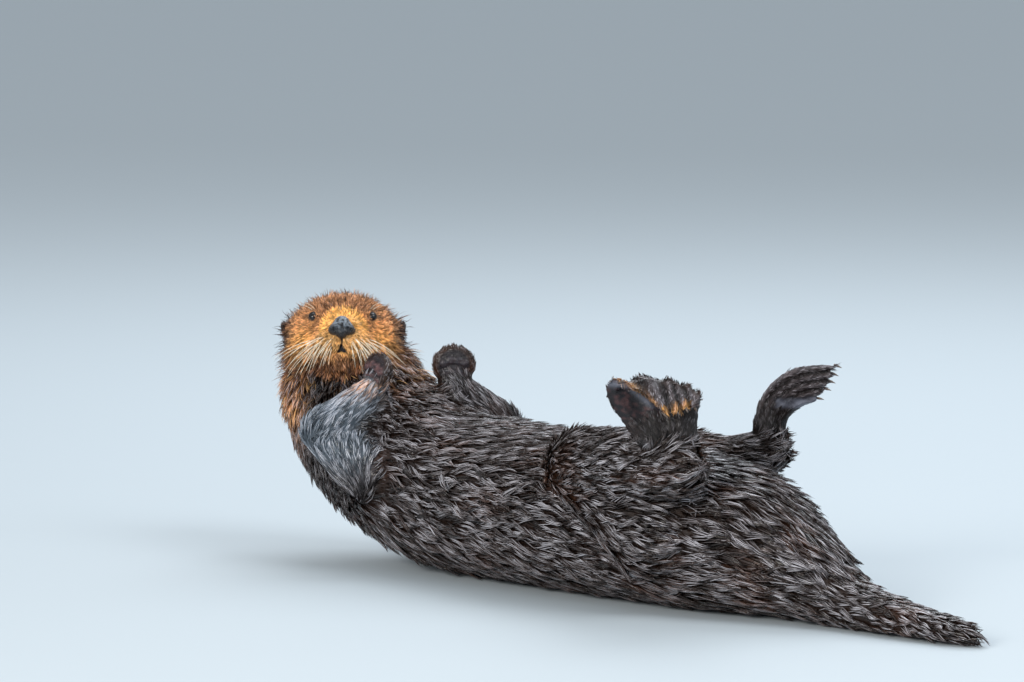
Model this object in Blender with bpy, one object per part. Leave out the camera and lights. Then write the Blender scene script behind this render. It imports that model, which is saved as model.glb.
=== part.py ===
"""A sea otter lying on its back with its head and feet raised, as a still, life-size museum model.

Metres, +Z up. The tail points to +X, the belly is up, the animal's right side is towards -Y,
and the back and tail rest on the floor at z = 0. Each named object is one closed solid that reaches
out to the tips of the coat.
"""

import math

import bmesh
import bpy
import numpy as np
from mathutils import Matrix, Vector
from mathutils.bvhtree import BVHTree

# Driving dimensions
FACE_BEARING = math.radians(46)  # how far the face turns from -Y towards +X
HEAD_PITCH = math.radians(17)  # how far the nose is raised
HEAD_CENTRE = Vector((-0.520, 0.000, 0.283))
MIDDLE = Vector((0.0263, -0.0211, 0.0))  # of the whole animal on the floor, which goes to the origin
GAP = 0.0004  # between neighbouring pieces
ROUND_TRUNK = 26  # points round a section of the trunk
FORWARD = Vector((math.sin(FACE_BEARING), -math.cos(FACE_BEARING), 0))  # where the face looks, level
ACROSS = Vector((math.cos(FACE_BEARING), math.sin(FACE_BEARING), 0))  # square to it, tail side
UP = Vector((0, 0, 1))

COLOURS = {  # base colour and roughness
    "face_fur": ((0.50, 0.27, 0.10), 0.55),
    "body_fur": ((0.055, 0.030, 0.020), 0.45),
    "foot_skin": ((0.035, 0.026, 0.026), 0.40),
    "nose_skin": ((0.020, 0.020, 0.024), 0.35),
    "eye": ((0.010, 0.006, 0.004), 0.05),
    "claw": ((0.060, 0.045, 0.040), 0.35),
}

# The spine, from the tip of the tail to the back of the skull. Each station is a centre (x, y, z),
# the width and height of the body there, and how far its sides have turned with the face.
SPINE = [
    ((0.655, 0, 0.012), 0.030, 0.022, 0.0),
    ((0.620, 0, 0.016), 0.056, 0.034, 0.0),
    ((0.530, 0, 0.022), 0.072, 0.048, 0.0),
    ((0.430, 0, 0.034), 0.092, 0.072, 0.0),
    ((0.345, 0, 0.062), 0.150, 0.126, 0.0),
    ((0.235, 0, 0.090), 0.232, 0.186, 0.0),
    ((0.100, 0, 0.099), 0.268, 0.204, 0.0),
    ((-0.050, 0, 0.100), 0.278, 0.206, 0.0),
    ((-0.200, 0, 0.102), 0.270, 0.210, 0.0),
    ((-0.325, 0, 0.112), 0.252, 0.206, 0.1),
    ((-0.430, 0.002, 0.150), 0.226, 0.194, 0.4),
    ((-0.497, 0.006, 0.202), 0.204, 0.176, 0.8),
    ((-0.522, 0.012, 0.247), 0.182, 0.156, 1.0),
    ((-0.534, 0.016, 0.276), 0.138, 0.118, 1.0),
]
PIECES = {  # first station, last station, rings
    "tail": (0, 3.4, 9),
    "rump": (3.4, 5.5, 7),
    "belly": (5.5, 7.5, 5),
    "chest": (7.5, 9.3, 5),
    "neck": (9.3, 13, 8),
}

# Head lumps in its own millimetres: x to the animal's right, y to the nose, z to the crown.
HEAD_SOFTNESS = 6.0
HEAD_LUMPS = [
    ((0, -12, 13), (64, 68, 57)),  # skull
    ((0, -26, -6), (66, 58, 52)),  # nape
    ((29, -8, 14), (45, 56, 42)),  # temples
    ((-29, -8, 14), (45, 56, 42)),
    ((42, 10, -16), (36, 44, 36)),  # cheeks
    ((-42, 10, -16), (36, 44, 36)),
    ((0, 48, -8), (37, 38, 27)),  # muzzle
    ((22, 66, -14), (24, 24, 17)),  # whisker pads
    ((-22, 66, -14), (24, 24, 17)),
    ((0, 54, 8), (18, 36, 14)),  # bridge of the nose
    ((0, 56, -38), (20, 26, 13)),  # chin
    ((0, 14, -38), (46, 46, 24)),  # throat
]
EYE_ACROSS, EYE_HEIGHT, EYE_RADIUS, EYE_SHOWS = 39, 28, 8.0, 1.8
EAR_AT, EAR_SIZE = Vector((78.5, -13, 21.5)), Vector((7.5, 9.0, 12.0))
NOSE_HEIGHT, NOSE_SINKS = 8, 3
NOSE_LUMPS = [
    ((0, 0, 4), (12.5, 11, 10)),
    ((9.5, 1, -3), (8, 9, 7)),
    ((-9.5, 1, -3), (8, 9, 7)),
    ((0, 2, -9), (5, 8, 6)),
]

# Limbs: the upper and the lower piece of each as balls melted together, each a centre and a radius.
ARMS = {
    "right": {
        "upper": [((-0.352, -0.084, 0.122), 0.052), ((-0.414, -0.126, 0.168), 0.030)],
        "lower": [((-0.420, -0.128, 0.183), 0.036), ((-0.396, -0.062, 0.236), 0.023)],
        "palm_turn": math.radians(-50),
        "lean": math.radians(18),
        "paw_size": 0.87,
    },
    "left": {
        "upper": [((-0.335, 0.086, 0.122), 0.052), ((-0.338, 0.118, 0.170), 0.032)],
        "lower": [((-0.338, 0.120, 0.176), 0.036), ((-0.363, 0.060, 0.231), 0.027)],
        "palm_turn": 0.0,
        "lean": math.radians(-2),
        "paw_size": 1.0,
    },
}
PAW_CENTRE_ABOVE_WRIST = 0.026
PAW_SOFTNESS = 2.6
PAW_LUMPS = [((0, 0, -6), (25, 14, 24))] + [
    ((x, -1, z), (8.6, 10, 16)) for x, z in ((-21, 7), (-12, 15), (0, 18), (12, 15), (21, 7))
]

# Hind feet: for each toe from the inner to the outer, three points on its line in millimetres from the
# ankle, across, forward and up: the end of the sole, the knuckle and the tip. The notches are how far
# each web is cut back between two toes' tips.
LEGS = {
    "right": {
        "upper": [((0.170, -0.088, 0.100), 0.066), ((0.072, -0.106, 0.160), 0.048)],
        "lower": [
            ((0.056, -0.105, 0.180), 0.055),
            ((0.135, -0.112, 0.190), 0.052),
            ((0.232, -0.112, 0.196), 0.042),
        ],
        "toes": [
            ((22, 0, 62), (27, 8, 96), (24, 28, 86)),
            ((7, -2, 68), (13, 8, 106), (12, 38, 87)),
            ((-10, -2, 72), (-8, 10, 113), (-1, 46, 84)),
            ((-30, 0, 72), (-44, 14, 118), (-15, 50, 80)),
            ((-58, 4, 62), (-80, 14, 104), (-70, 32, 119)),
        ],
        "base_step": -12.0,
        "outer_edge": 0.014,
        "notches": (0.07, 0.07, 0.06, -0.06),
        "dorsal": -1,
    },
    "left": {
        "upper": [((0.150, 0.088, 0.100), 0.064), ((0.044, 0.104, 0.146), 0.044)],
        "lower": [
            ((0.030, 0.103, 0.158), 0.052),
            ((0.106, 0.110, 0.162), 0.046),
            ((0.169, 0.120, 0.190), 0.033),
        ],
        "toes": [
            ((22, 16, 46), (42, 50, 70), (64, 72, 79)),
            ((15, 14, 53), (40, 52, 82), (73, 84, 93)),
            ((8, 12, 60), (38, 54, 92), (78, 92, 104)),
            ((2, 10, 66), (35, 55, 103), (82, 98, 115)),
            ((-4, 10, 72), (32, 55, 112), (86, 102, 126)),
        ],
        "base_step": -10.0,
        "outer_edge": 0.006,
        "notches": (0.09, 0.09, 0.09, 0.09),
        "dorsal": 1,
    },
}
INNER_EDGE = 0.006  # how far the foot stands outside the line of its inner toe
ANKLE_THICK, TOE_THICK, WEB_THICK = 0.024, 0.0075, 0.0028  # half thicknesses
CLAW_LENGTH, CLAW_RADIUS, CLAW_ABOVE_TOE = 0.0065, 0.0019, 0.0030
CLAW_TURN = 0.45  # how far a claw points away from the next longer toe

for old in list(bpy.data.objects):
    bpy.data.objects.remove(old)


def collection(name):
    found = bpy.data.collections.new(name)
    bpy.context.scene.collection.children.link(found)
    return found


OTTER = collection("sea_otter")
CUTTERS = collection("cutters")


def material(name):
    colour, roughness = COLOURS[name]
    made = bpy.data.materials.new(name)
    made.use_nodes = True
    shader = made.node_tree.nodes["Principled BSDF"]
    shader.inputs["Base Color"].default_value = (*colour, 1)
    shader.inputs["Roughness"].default_value = roughness
    shader.inputs["Metallic"].default_value = 0
    return made


MATERIALS = {name: material(name) for name in COLOURS}


def add(name, shape, finish, into=OTTER):
    """Makes the bmesh an object of triangles, facing outwards and shaded smooth."""
    bmesh.ops.triangulate(shape, faces=shape.faces)
    if shape.calc_volume(signed=True) < 0:
        bmesh.ops.reverse_faces(shape, faces=shape.faces)
    mesh = bpy.data.meshes.new(name)
    shape.to_mesh(mesh)
    shape.free()
    mesh.shade_smooth()
    mesh.materials.append(MATERIALS[finish])
    made = bpy.data.objects.new(name, mesh)
    into.objects.link(made)
    return made


def settle(obj):
    """Applies the object's modifiers and keeps its largest connected piece."""
    depsgraph = bpy.context.evaluated_depsgraph_get()
    mesh = bpy.data.meshes.new_from_object(obj.evaluated_get(depsgraph))
    obj.modifiers.clear()
    shape = bmesh.new()
    shape.from_mesh(mesh)
    waiting, islands = set(shape.verts), []
    while waiting:
        island = [waiting.pop()]
        for vertex in island:
            fresh = {edge.other_vert(vertex) for edge in vertex.link_edges} & waiting
            waiting -= fresh
            island.extend(fresh)
        islands.append(island)
    for island in sorted(islands, key=len)[:-1]:
        bmesh.ops.delete(shape, geom=island, context="VERTS")
    bmesh.ops.triangulate(shape, faces=shape.faces)
    shape.to_mesh(mesh)
    shape.free()
    obj.data = mesh


def thin_out(obj, faces):
    fewer = obj.modifiers.new("fewer_faces", "DECIMATE")
    fewer.ratio = faces / sum(len(p.vertices) - 2 for p in obj.data.polygons)
    settle(obj)


def cut(obj, *cutters):
    for cutter in cutters:
        modifier = obj.modifiers.new("cut_by_" + cutter.name, "BOOLEAN")
        modifier.operation = "DIFFERENCE"
        modifier.solver = "EXACT"
        modifier.object = cutter
    settle(obj)


def as_cutter(obj):
    obj.hide_render = True
    obj.display_type = "WIRE"
    return obj


def clear_of(obj, *neighbours):
    """Cuts the neighbours, each a gap larger all round, out of the object."""
    larger = []
    for neighbour in neighbours:
        copy = bpy.data.objects.new(f"{neighbour.name}_from_{obj.name}", neighbour.data.copy())
        CUTTERS.objects.link(copy)
        grow = copy.modifiers.new("grow", "DISPLACE")
        grow.mid_level = 0
        grow.strength = GAP
        larger.append(as_cutter(copy))
    cut(obj, *larger)


def between(rows, at):
    """The value of a table of number rows at a fractional row, on a Catmull-Rom curve."""
    rows = np.asarray(rows, float)
    last = len(rows) - 1
    i = min(int(at), last - 1)
    t = at - i
    a, b = rows[i], rows[i + 1]
    before = rows[i - 1] if i > 0 else 2 * a - b
    after = rows[i + 2] if i + 2 <= last else 2 * b - a
    slope, bend, twist = b - before, 2 * before - 5 * a + 4 * b - after, 3 * a - before - 3 * b + after
    return a + 0.5 * (slope * t + bend * t**2 + twist * t**3)


def ring(centre, side, depth, width, height, squareness=2.3):
    """A rounded section across the body, kept above the floor."""
    found = []
    for i in range(ROUND_TRUNK):
        angle = 2 * math.pi * (i + 0.5) / ROUND_TRUNK
        c, s = math.cos(angle), math.sin(angle)
        x = math.copysign(abs(c) ** (2 / squareness), c) * width / 2
        y = math.copysign(abs(s) ** (2 / squareness), s) * height / 2
        point = centre + side * x + depth * y
        point.z = max(point.z, 0)
        found.append(point)
    return found


def skinned(rings):
    """A bmesh with quads between the rings of points, open at both ends, and its rows of vertices."""
    shape = bmesh.new()
    rows = [[shape.verts.new(p) for p in points] for points in rings]
    for low, high in zip(rows, rows[1:]):
        for i in range(len(low)):
            j = (i + 1) % len(low)
            shape.faces.new((low[i], low[j], high[j], high[i]))
    return shape, rows


def spine_ring(at):
    rows = [(*centre, width, height, turn) for centre, width, height, turn in SPINE]
    here = between(rows, at)
    ahead = between(rows, min(at + 0.02, len(rows) - 1)) - between(rows, max(at - 0.02, 0))
    ahead = Vector(ahead[:3]).normalized()
    turn = (math.pi / 2 - FACE_BEARING) * here[5]
    side = Vector((math.sin(turn), math.cos(turn), 0))
    side = (side - ahead * side.dot(ahead)).normalized()
    return ring(Vector(here[:3]), side, ahead.cross(side), here[3], here[4])


def spine_piece(name):
    """One length of the neck, trunk or tail, cut square to the spine with a thin gap to the next."""
    first, last, count = PIECES[name]
    row = min(int(first), len(SPINE) - 2)
    step = GAP / 2 / (Vector(SPINE[row][0]) - Vector(SPINE[row + 1][0])).length
    shape, rows = skinned([spine_ring(at) for at in np.linspace(first + step, last - step, count)])
    shape.faces.new(rows[0][::-1])
    shape.faces.new(rows[-1])
    bmesh.ops.recalc_face_normals(shape, faces=shape.faces)
    return add(name, shape, "body_fur")


def melted(points, lumps, softness):
    """Below zero inside a row of ellipsoids melted together."""
    total = np.zeros(len(points))
    for centre, radii in lumps:
        scaled = (points - centre) / radii
        length = np.linalg.norm(scaled, axis=1)
        distance = length * (length - 1) / np.linalg.norm(scaled / radii, axis=1)
        total += np.exp(-distance / softness)
    return -softness * np.log(total)


def reach_out(starts, rays, lumps, softness, longest=150.0):
    """How far each ray runs from its start before it leaves the melted lumps."""
    near, far = np.full(len(rays), 1.0), np.full(len(rays), longest)
    for _ in range(30):
        middle = (near + far) / 2
        inside = melted(starts + rays * middle[:, None], lumps, softness) < 0
        near, far = np.where(inside, middle, near), np.where(inside, far, middle)
    return near


def cast(name, lumps, softness, place, finish, fineness, faces):
    """A ball whose points are moved out to the surface of the melted lumps, then placed."""
    shape = bmesh.new()
    bmesh.ops.create_icosphere(shape, subdivisions=fineness, radius=1)
    rays = np.array([v.co.normalized() for v in shape.verts])
    for vertex, length in zip(shape.verts, reach_out(np.zeros(3), rays, lumps, softness)):
        vertex.co = vertex.co.normalized() * length / 1000
    shape.transform(place)
    made = add(name, shape, finish)
    thin_out(made, faces)
    return made


def limb_piece(name, balls, faces):
    """A length of limb: balls strung between the given ones and melted together."""
    middle = sum((Vector(centre) for centre, _ in balls), Vector()) / len(balls)
    lumps = []
    for (start, wide), (end, narrow) in zip(balls, balls[1:]):
        for t in np.linspace(0, 1, 7):
            centre = (Vector(start).lerp(Vector(end), t) - middle) * 1000
            radius = 1000 * (wide + (narrow - wide) * t) - 2
            lumps.append((tuple(centre), (radius,) * 3))
    return cast(name, lumps, 2.0, Matrix.Translation(middle), "body_fur", 4, faces)


def ellipsoid(name, place, radii, finish, into, fineness=2):
    shape = bmesh.new()
    bmesh.ops.create_icosphere(shape, subdivisions=fineness, radius=1)
    shape.transform(place @ Matrix.Diagonal((*radii, 1)))
    return add(name, shape, finish, into)


def frame(across, ahead, up, origin):
    """A placing matrix whose columns are the three directions."""
    matrix = Matrix((across, ahead, up)).transposed().to_4x4()
    matrix.translation = origin
    return matrix


def head_frame():
    ahead = FORWARD * math.cos(HEAD_PITCH) + UP * math.sin(HEAD_PITCH)
    right = ahead.cross(UP).normalized()
    return frame(right, ahead, right.cross(ahead), HEAD_CENTRE)


def face_front(x, z):
    """How far forward the surface of the head is at a place on the face, in millimetres."""
    start, ray = np.array([[x, 0.0, z]]), np.array([[0.0, 1.0, 0.0]])
    return float(reach_out(start, ray, HEAD_LUMPS, HEAD_SOFTNESS)[0])


def make_head():
    """The head with sockets for the eyes and nose, and the pieces that sit in it."""
    place = head_frame()
    head = cast("head", HEAD_LUMPS, HEAD_SOFTNESS, place, "face_fur", 5, 1200)
    fitted = []
    for side, sign in (("right", 1), ("left", -1)):
        depth = face_front(EYE_ACROSS, EYE_HEIGHT) - EYE_RADIUS + EYE_SHOWS
        centre = Vector((sign * EYE_ACROSS, depth, EYE_HEIGHT)) / 1000
        radii = [EYE_RADIUS / 1000] * 3
        fitted.append(ellipsoid("eye_" + side, place @ Matrix.Translation(centre), radii, "eye", OTTER))
    nose_at = Vector((0, face_front(0, NOSE_HEIGHT) - NOSE_SINKS, NOSE_HEIGHT)) / 1000
    nose = cast("nose", NOSE_LUMPS, 2.0, place @ Matrix.Translation(nose_at), "nose_skin", 4, 220)
    holes = []
    for sign in (1, -1):
        centre = nose_at + Vector((sign * 0.0085, 0.0095, -0.0030))
        turned = Matrix.Rotation(math.radians(35 * sign), 4, "Y")
        hole = ellipsoid(f"nostril_{sign}", place @ Matrix.Translation(centre) @ turned,
                         (0.0042, 0.0050, 0.0026), "nose_skin", CUTTERS)
        holes.append(as_cutter(hole))
    cut(nose, *holes)
    clear_of(head, *fitted, nose)
    for side, sign in (("right", 1), ("left", -1)):
        centre = Vector((sign * EAR_AT.x, EAR_AT.y, EAR_AT.z)) / 1000
        lean = Matrix.Rotation(math.radians(14 * sign), 4, "Y")
        turn = Matrix.Rotation(math.radians(-28 * sign), 4, "Z")
        at = place @ Matrix.Translation(centre) @ lean @ turn
        ear = ellipsoid("ear_" + side, at, EAR_SIZE / 1000, "body_fur", OTTER, 3)
        thin_out(ear, 90)
        at_hollow = at @ Matrix.Translation((sign * 0.0040, 0.0070, 0.001))
        hollow = ellipsoid("hollow_" + side, at_hollow, (0.0042, 0.0062, 0.009), "body_fur", CUTTERS)
        cut(ear, as_cutter(hollow))
        clear_of(ear, head)
    return head


def make_arm(side, body):
    spec = ARMS[side]
    upper = limb_piece(f"upper_arm_{side}", spec["upper"], 140)
    fore = limb_piece(f"forearm_{side}", spec["lower"], 200)
    wrist = Vector(spec["lower"][-1][0])
    palm = Matrix.Rotation(spec["palm_turn"], 3, "Z") @ FORWARD
    fingers = (UP + ACROSS * math.tan(spec["lean"])).normalized()
    across = fingers.cross(palm).normalized()
    size = spec["paw_size"]
    middle = wrist + fingers * PAW_CENTRE_ABOVE_WRIST * size
    place = frame(across, across.cross(fingers) * -1, fingers, middle)
    place = place @ Matrix.Diagonal((size, size, size, 1))
    paw = cast(f"forepaw_{side}", PAW_LUMPS, PAW_SOFTNESS, place, "foot_skin", 4, 320)
    clear_of(upper, *body, fore)
    clear_of(fore, *body)
    clear_of(paw, fore, *body)


def toe_point(leg, toe, at):
    """A point of the foot's middle surface: a fractional toe, and 0 at the ankle to 3 at the tips."""
    rows = [between([(leg["base_step"] * (i - 2), 0, 0), *leg["toes"][i]], at) for i in range(5)]
    depth = leg["notches"][min(int(toe), 3)]
    notch = depth * math.sin(math.pi * (toe % 1)) ** 2 * max(0.0, at - 2)
    return Vector(between(rows, toe)) * (1 - notch) / 1000


def half_thickness(toe, at):
    """Half the foot's thickness: round at the ankle, ridged over the toes, rounded off at the ends."""
    edge = math.sqrt(1 - ((toe - 2) / 2.4) ** 2)
    ridge = math.cos(math.pi * (toe % 1)) ** 2
    toes = WEB_THICK + (TOE_THICK - WEB_THICK) * ridge
    mix = min(1.0, at / 1.5)
    mix = mix * mix * (3 - 2 * mix)
    thick = ANKLE_THICK * edge * (1 - mix) + toes * mix
    return thick * math.sqrt(max(0.05, 1 - max(0.0, (at - 2.75) / 0.25) ** 2))


def toe_normal(leg, toe, at):
    """Which way the foot's surface faces, out of its back."""
    along = toe_point(leg, toe, min(at + 0.02, 3)) - toe_point(leg, toe, max(at - 0.02, 0))
    over = toe_point(leg, min(toe + 0.05, 4), at) - toe_point(leg, max(toe - 0.05, 0), at)
    return along.cross(over).normalized() * leg["dorsal"]


def touches(shape, surface):
    near = min(surface.find_nearest(v.co)[3] for v in shape.verts)
    return near < GAP or bool(BVHTree.FromBMesh(shape).overlap(surface))


def make_foot(side, leg_pieces):
    """The webbed hind foot as one ridged sheet, and the claws at the ends of its toes."""
    leg = LEGS[side]
    place = frame(ACROSS, FORWARD, UP, Vector(leg["lower"][-1][0]))
    rings = []
    for at in np.linspace(0, 3, 12):
        back, sole = [], []
        for toe in np.linspace(0, 4, 17):
            lift = toe_normal(leg, toe, at) * half_thickness(toe, at)
            back.append(place @ (toe_point(leg, toe, at) + lift))
            sole.append(place @ (toe_point(leg, toe, at) - lift))
        rounding = math.sqrt(max(0.0, 1 - max(0.0, (at - 2) / 1.02) ** 2)) * min(1.0, at / 1.4)
        edges = []
        outer = INNER_EDGE + (leg["outer_edge"] - INNER_EDGE) * rounding
        for end, width in ((0, INNER_EDGE), (4, outer)):
            outward = toe_point(leg, end, at) - toe_point(leg, abs(end - 0.1), at)
            edges.append(place @ (toe_point(leg, end, at) + outward.normalized() * width))
        rings.append([edges[0], *back, edges[1], *sole[::-1]])
    shape, rows = skinned(rings)
    shape.faces.new(rows[0][::-1])
    tips, count = rows[-1], len(rows[-1])
    for i in range(count // 2):
        quad = (tips[i], tips[i + 1], tips[count - i - 1], tips[(count - i) % count])
        shape.faces.new(list(dict.fromkeys(quad)))
    bmesh.ops.recalc_face_normals(shape, faces=shape.faces)
    foot = add(f"hind_foot_{side}", shape, "foot_skin")
    clear_of(foot, *leg_pieces)
    corners = [v.co for v in foot.data.vertices]
    surface = BVHTree.FromPolygons(corners, [p.vertices for p in foot.data.polygons])
    for number in range(5):
        tip, normal = toe_point(leg, number, 3), toe_normal(leg, number, 3)
        inward = toe_point(leg, max(number - 0.1, 0), 3) - toe_point(leg, min(number + 0.1, 4), 3)
        aim = (tip - toe_point(leg, number, 2.9)).normalized() + inward.normalized() * CLAW_TURN
        aim = aim.normalized()
        normal = (normal - aim * normal.dot(aim)).normalized()
        claw = bmesh.new()
        bmesh.ops.create_cone(claw, cap_ends=True, segments=6, radius1=CLAW_RADIUS,
                              radius2=0.0006, depth=CLAW_LENGTH)
        middle = tip + normal * CLAW_ABOVE_TOE + aim * CLAW_LENGTH / 2
        claw.transform(place @ frame(normal.cross(aim), normal, aim, middle))
        step = place.to_3x3() @ (aim + normal * 0.5) * GAP
        while touches(claw, surface):
            bmesh.ops.translate(claw, verts=claw.verts, vec=step)
        add(f"claw_hind_{side}_{number + 1}", claw, "claw")


def make_leg(side, body):
    thigh = limb_piece(f"thigh_{side}", LEGS[side]["upper"], 150)
    shank = limb_piece(f"shank_{side}", LEGS[side]["lower"], 260)
    clear_of(thigh, *body, shank)
    clear_of(shank, *body)
    make_foot(side, (shank, thigh))


head = make_head()
spine = {name: spine_piece(name) for name in PIECES}
clear_of(spine["neck"], head)
for side in ("right", "left"):
    make_arm(side, (spine["chest"], spine["neck"], spine["belly"], head))
    make_leg(side, (spine["belly"], spine["rump"]))

whole = bpy.data.objects.new("whole_animal", None)
bpy.context.scene.collection.objects.link(whole)
whole.location = -MIDDLE
for made in (*OTTER.objects, *CUTTERS.objects):
    made.parent = whole
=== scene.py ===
import math

import bmesh
import bpy
import numpy as np
from mathutils import Matrix, Vector
from mathutils.bvhtree import BVHTree
from mathutils.kdtree import KDTree


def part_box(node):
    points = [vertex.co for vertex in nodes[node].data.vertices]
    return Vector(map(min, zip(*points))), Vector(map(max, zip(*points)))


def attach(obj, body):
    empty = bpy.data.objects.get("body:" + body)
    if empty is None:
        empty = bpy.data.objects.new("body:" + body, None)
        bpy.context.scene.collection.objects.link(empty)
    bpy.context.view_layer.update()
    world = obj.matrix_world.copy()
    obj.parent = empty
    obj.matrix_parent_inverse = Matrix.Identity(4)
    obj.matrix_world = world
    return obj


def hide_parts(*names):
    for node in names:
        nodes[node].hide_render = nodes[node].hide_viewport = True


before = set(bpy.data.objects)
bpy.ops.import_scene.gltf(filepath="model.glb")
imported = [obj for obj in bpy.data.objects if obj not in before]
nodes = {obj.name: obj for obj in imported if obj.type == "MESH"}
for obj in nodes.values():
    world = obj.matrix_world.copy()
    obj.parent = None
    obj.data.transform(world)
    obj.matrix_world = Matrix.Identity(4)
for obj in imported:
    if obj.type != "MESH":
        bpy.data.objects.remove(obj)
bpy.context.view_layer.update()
mm = 0.001
bothSides = ("right", "left")


def middleOf(node):
    low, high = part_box(node)
    return (low + high) / 2


# the head's own directions, from the places of its eyes and ears
headRight = (middleOf("eye_right") - middleOf("eye_left")).normalized()
earMiddle = (middleOf("ear_right") + middleOf("ear_left")) / 2
headAhead = (middleOf("eye_right") + middleOf("eye_left")) / 2 - earMiddle
headAhead = (headAhead - headRight * headAhead.dot(headRight)).normalized()
headUp = headRight.cross(headAhead)
headOrigin = earMiddle + headAhead * 16 * mm - headUp * 27 * mm
headAxes = np.array([headRight, headAhead, headUp])
faceLevel = Vector((headAhead.x, headAhead.y, 0)).normalized()  # where the face looks, level
acrossFace = Vector((-faceLevel.y, faceLevel.x, 0))  # level, square to it, towards the tail
palmFacing = {"right": Matrix.Rotation(math.radians(-50), 3, "Z") @ faceLevel, "left": faceLevel}
soleFacing = {"right": faceLevel, "left": -faceLevel}


def toHead(points):  # millimetres to the right, ahead and up in the head
    return (points - np.array(headOrigin)) @ headAxes.T / mm


def fromHead(points):
    return np.asarray(points) * mm @ headAxes + np.array(headOrigin)


def smoothStep(values, low, high):
    t = np.clip((values - low) / (high - low), 0, 1)
    return t * t * (3 - 2 * t)


def drift(points, size, seed):  # smooth noise, about -1 to 1, whose patches are about that size
    waves = np.random.default_rng(seed)
    total = np.zeros(len(points))
    for _ in range(7):
        direction = waves.normal(size=3)
        total += np.sin(points @ direction * (2.6 / size) + waves.uniform(0, 2 * math.pi))
    return total / 3.2


def bell(*terms):  # 1 where each value is at its middle, falling off over its width
    return np.exp(-sum(((values - middle) / width) ** 2 for values, middle, width in terms))


def oval(across, high, middle, half):  # 0 at an oval's middle and 1 at its edge
    return np.hypot((across - middle[0]) / half[0], (high - middle[1]) / half[1])


def lengths(vectors):
    return np.linalg.norm(vectors, axis=1)


def unit(vectors):
    return vectors / np.maximum(np.linalg.norm(vectors, axis=1, keepdims=True), 1e-12)


def meshArrays(mesh):  # points and triangles
    points = np.empty(len(mesh.vertices) * 3, np.float32)
    mesh.vertices.foreach_get("co", points)
    mesh.calc_loop_triangles()
    triangles = np.empty(len(mesh.loop_triangles) * 3, np.int32)
    mesh.loop_triangles.foreach_get("vertices", triangles)
    return points.reshape(-1, 3).astype(float), triangles.reshape(-1, 3)


def edgesOf(mesh):
    edges = np.empty(len(mesh.edges) * 2, np.int32)
    mesh.edges.foreach_get("vertices", edges)
    return edges.reshape(-1, 2)


def normalsOf(points, triangles):
    a, b, c = (points[triangles[:, k]] for k in range(3))
    faces = np.cross(b - a, c - a)
    total = np.column_stack([
        sum(np.bincount(triangles[:, k], column, len(points)) for k in range(3)) for column in faces.T
    ])
    return unit(total)


def relax(values, edges, rounds, share=0.5):  # draws each point's values towards its neighbours'
    count = np.maximum(np.bincount(edges.ravel(), minlength=len(values)), 1)[:, None]
    for _ in range(rounds):
        total = np.column_stack([
            np.bincount(edges[:, 0], column[edges[:, 1]], len(values))
            + np.bincount(edges[:, 1], column[edges[:, 0]], len(values))
            for column in values.T
        ])
        values = values + share * (total / count - values)
    return values


def linked(mesh):  # a piece that shows the mesh
    mesh.shade_smooth()
    piece = bpy.data.objects.new(mesh.name, mesh)
    bpy.context.scene.collection.objects.link(piece)
    return piece


def addMesh(name, points, triangles):
    mesh = bpy.data.meshes.new(name)
    mesh.vertices.add(len(points))
    mesh.vertices.foreach_set("co", np.asarray(points, np.float32).ravel())
    mesh.loops.add(len(triangles) * 3)
    mesh.loops.foreach_set("vertex_index", np.asarray(triangles, np.int32).ravel())
    mesh.polygons.add(len(triangles))
    mesh.polygons.foreach_set("loop_start", np.arange(0, len(triangles) * 3, 3, dtype=np.int32))
    mesh.update(calc_edges=True)
    return linked(mesh)


def pieceFrom(shape, name):  # a piece from a shape that has been worked on
    mesh = bpy.data.meshes.new(name)
    shape.to_mesh(mesh)
    shape.free()
    return linked(mesh)


def baked(piece):  # the piece's mesh with its modifiers applied
    shaped = bpy.data.meshes.new_from_object(piece.evaluated_get(bpy.context.evaluated_depsgraph_get()))
    piece.modifiers.clear()
    old, piece.data = piece.data, shaped
    bpy.data.meshes.remove(old)
    return shaped


def remeshed(piece, voxel):  # the piece's mesh made anew in even faces
    remesh = piece.modifiers.new("even", "REMESH")
    remesh.mode, remesh.voxel_size = "VOXEL", voxel
    return baked(piece)


def setPoints(mesh, points):
    mesh.vertices.foreach_set("co", points.astype(np.float32).ravel())
    mesh.update()


def markAll(mesh, marks):  # a value at each point, under each name
    for name, values in marks.items():
        attribute = mesh.attributes.new(name, "FLOAT", "POINT")
        attribute.data.foreach_set("value", np.asarray(values, np.float32))


# each kind of coat: length and width of a lock in mm, its rise in degrees, locks on a square
# centimetre, how far it is drawn to its clump's tip, and how deep the skin lies under the tips in mm
coat = {
    "face": (6.5, 0.85, 20, 50, 0.35, 3.0),
    "lids": (4.0, 0.60, 30, 80, 0.1, 1.0),
    "crown": (11.0, 0.95, 34, 36, 0.65, 5.0),
    "cheek": (15.0, 1.10, 26, 30, 0.75, 5.0),
    "chin": (16.0, 1.20, 28, 28, 0.85, 5.0),
    "ear": (3.2, 0.80, 12, 45, 0.2, 0.8),
    "ruff": (19.0, 1.30, 36, 24, 0.85, 6.0),
    "neck": (26.0, 2.00, 18, 12, 0.95, 7.5),
    "trunk": (46.0, 2.30, 9.5, 5.8, 0.95, 7.5),
    "tail": (28.0, 2.40, 11, 6.0, 0.90, 6.0),
    "arm": (20.0, 1.90, 4, 13, 0.90, 3.0),
    "paw": (7.0, 1.00, 16, 26, 0.60, 0.9),
    "leg": (38.0, 2.20, 9.5, 8.4, 0.95, 6.0),
    "shank": (30.0, 2.00, 9, 9.5, 0.93, 5.0),
    "foot": (9.0, 1.00, 6, 24, 0.85, 0.5),
}
coatNames = list(coat)
coatTable = np.array([coat[name] for name in coatNames], float)
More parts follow.
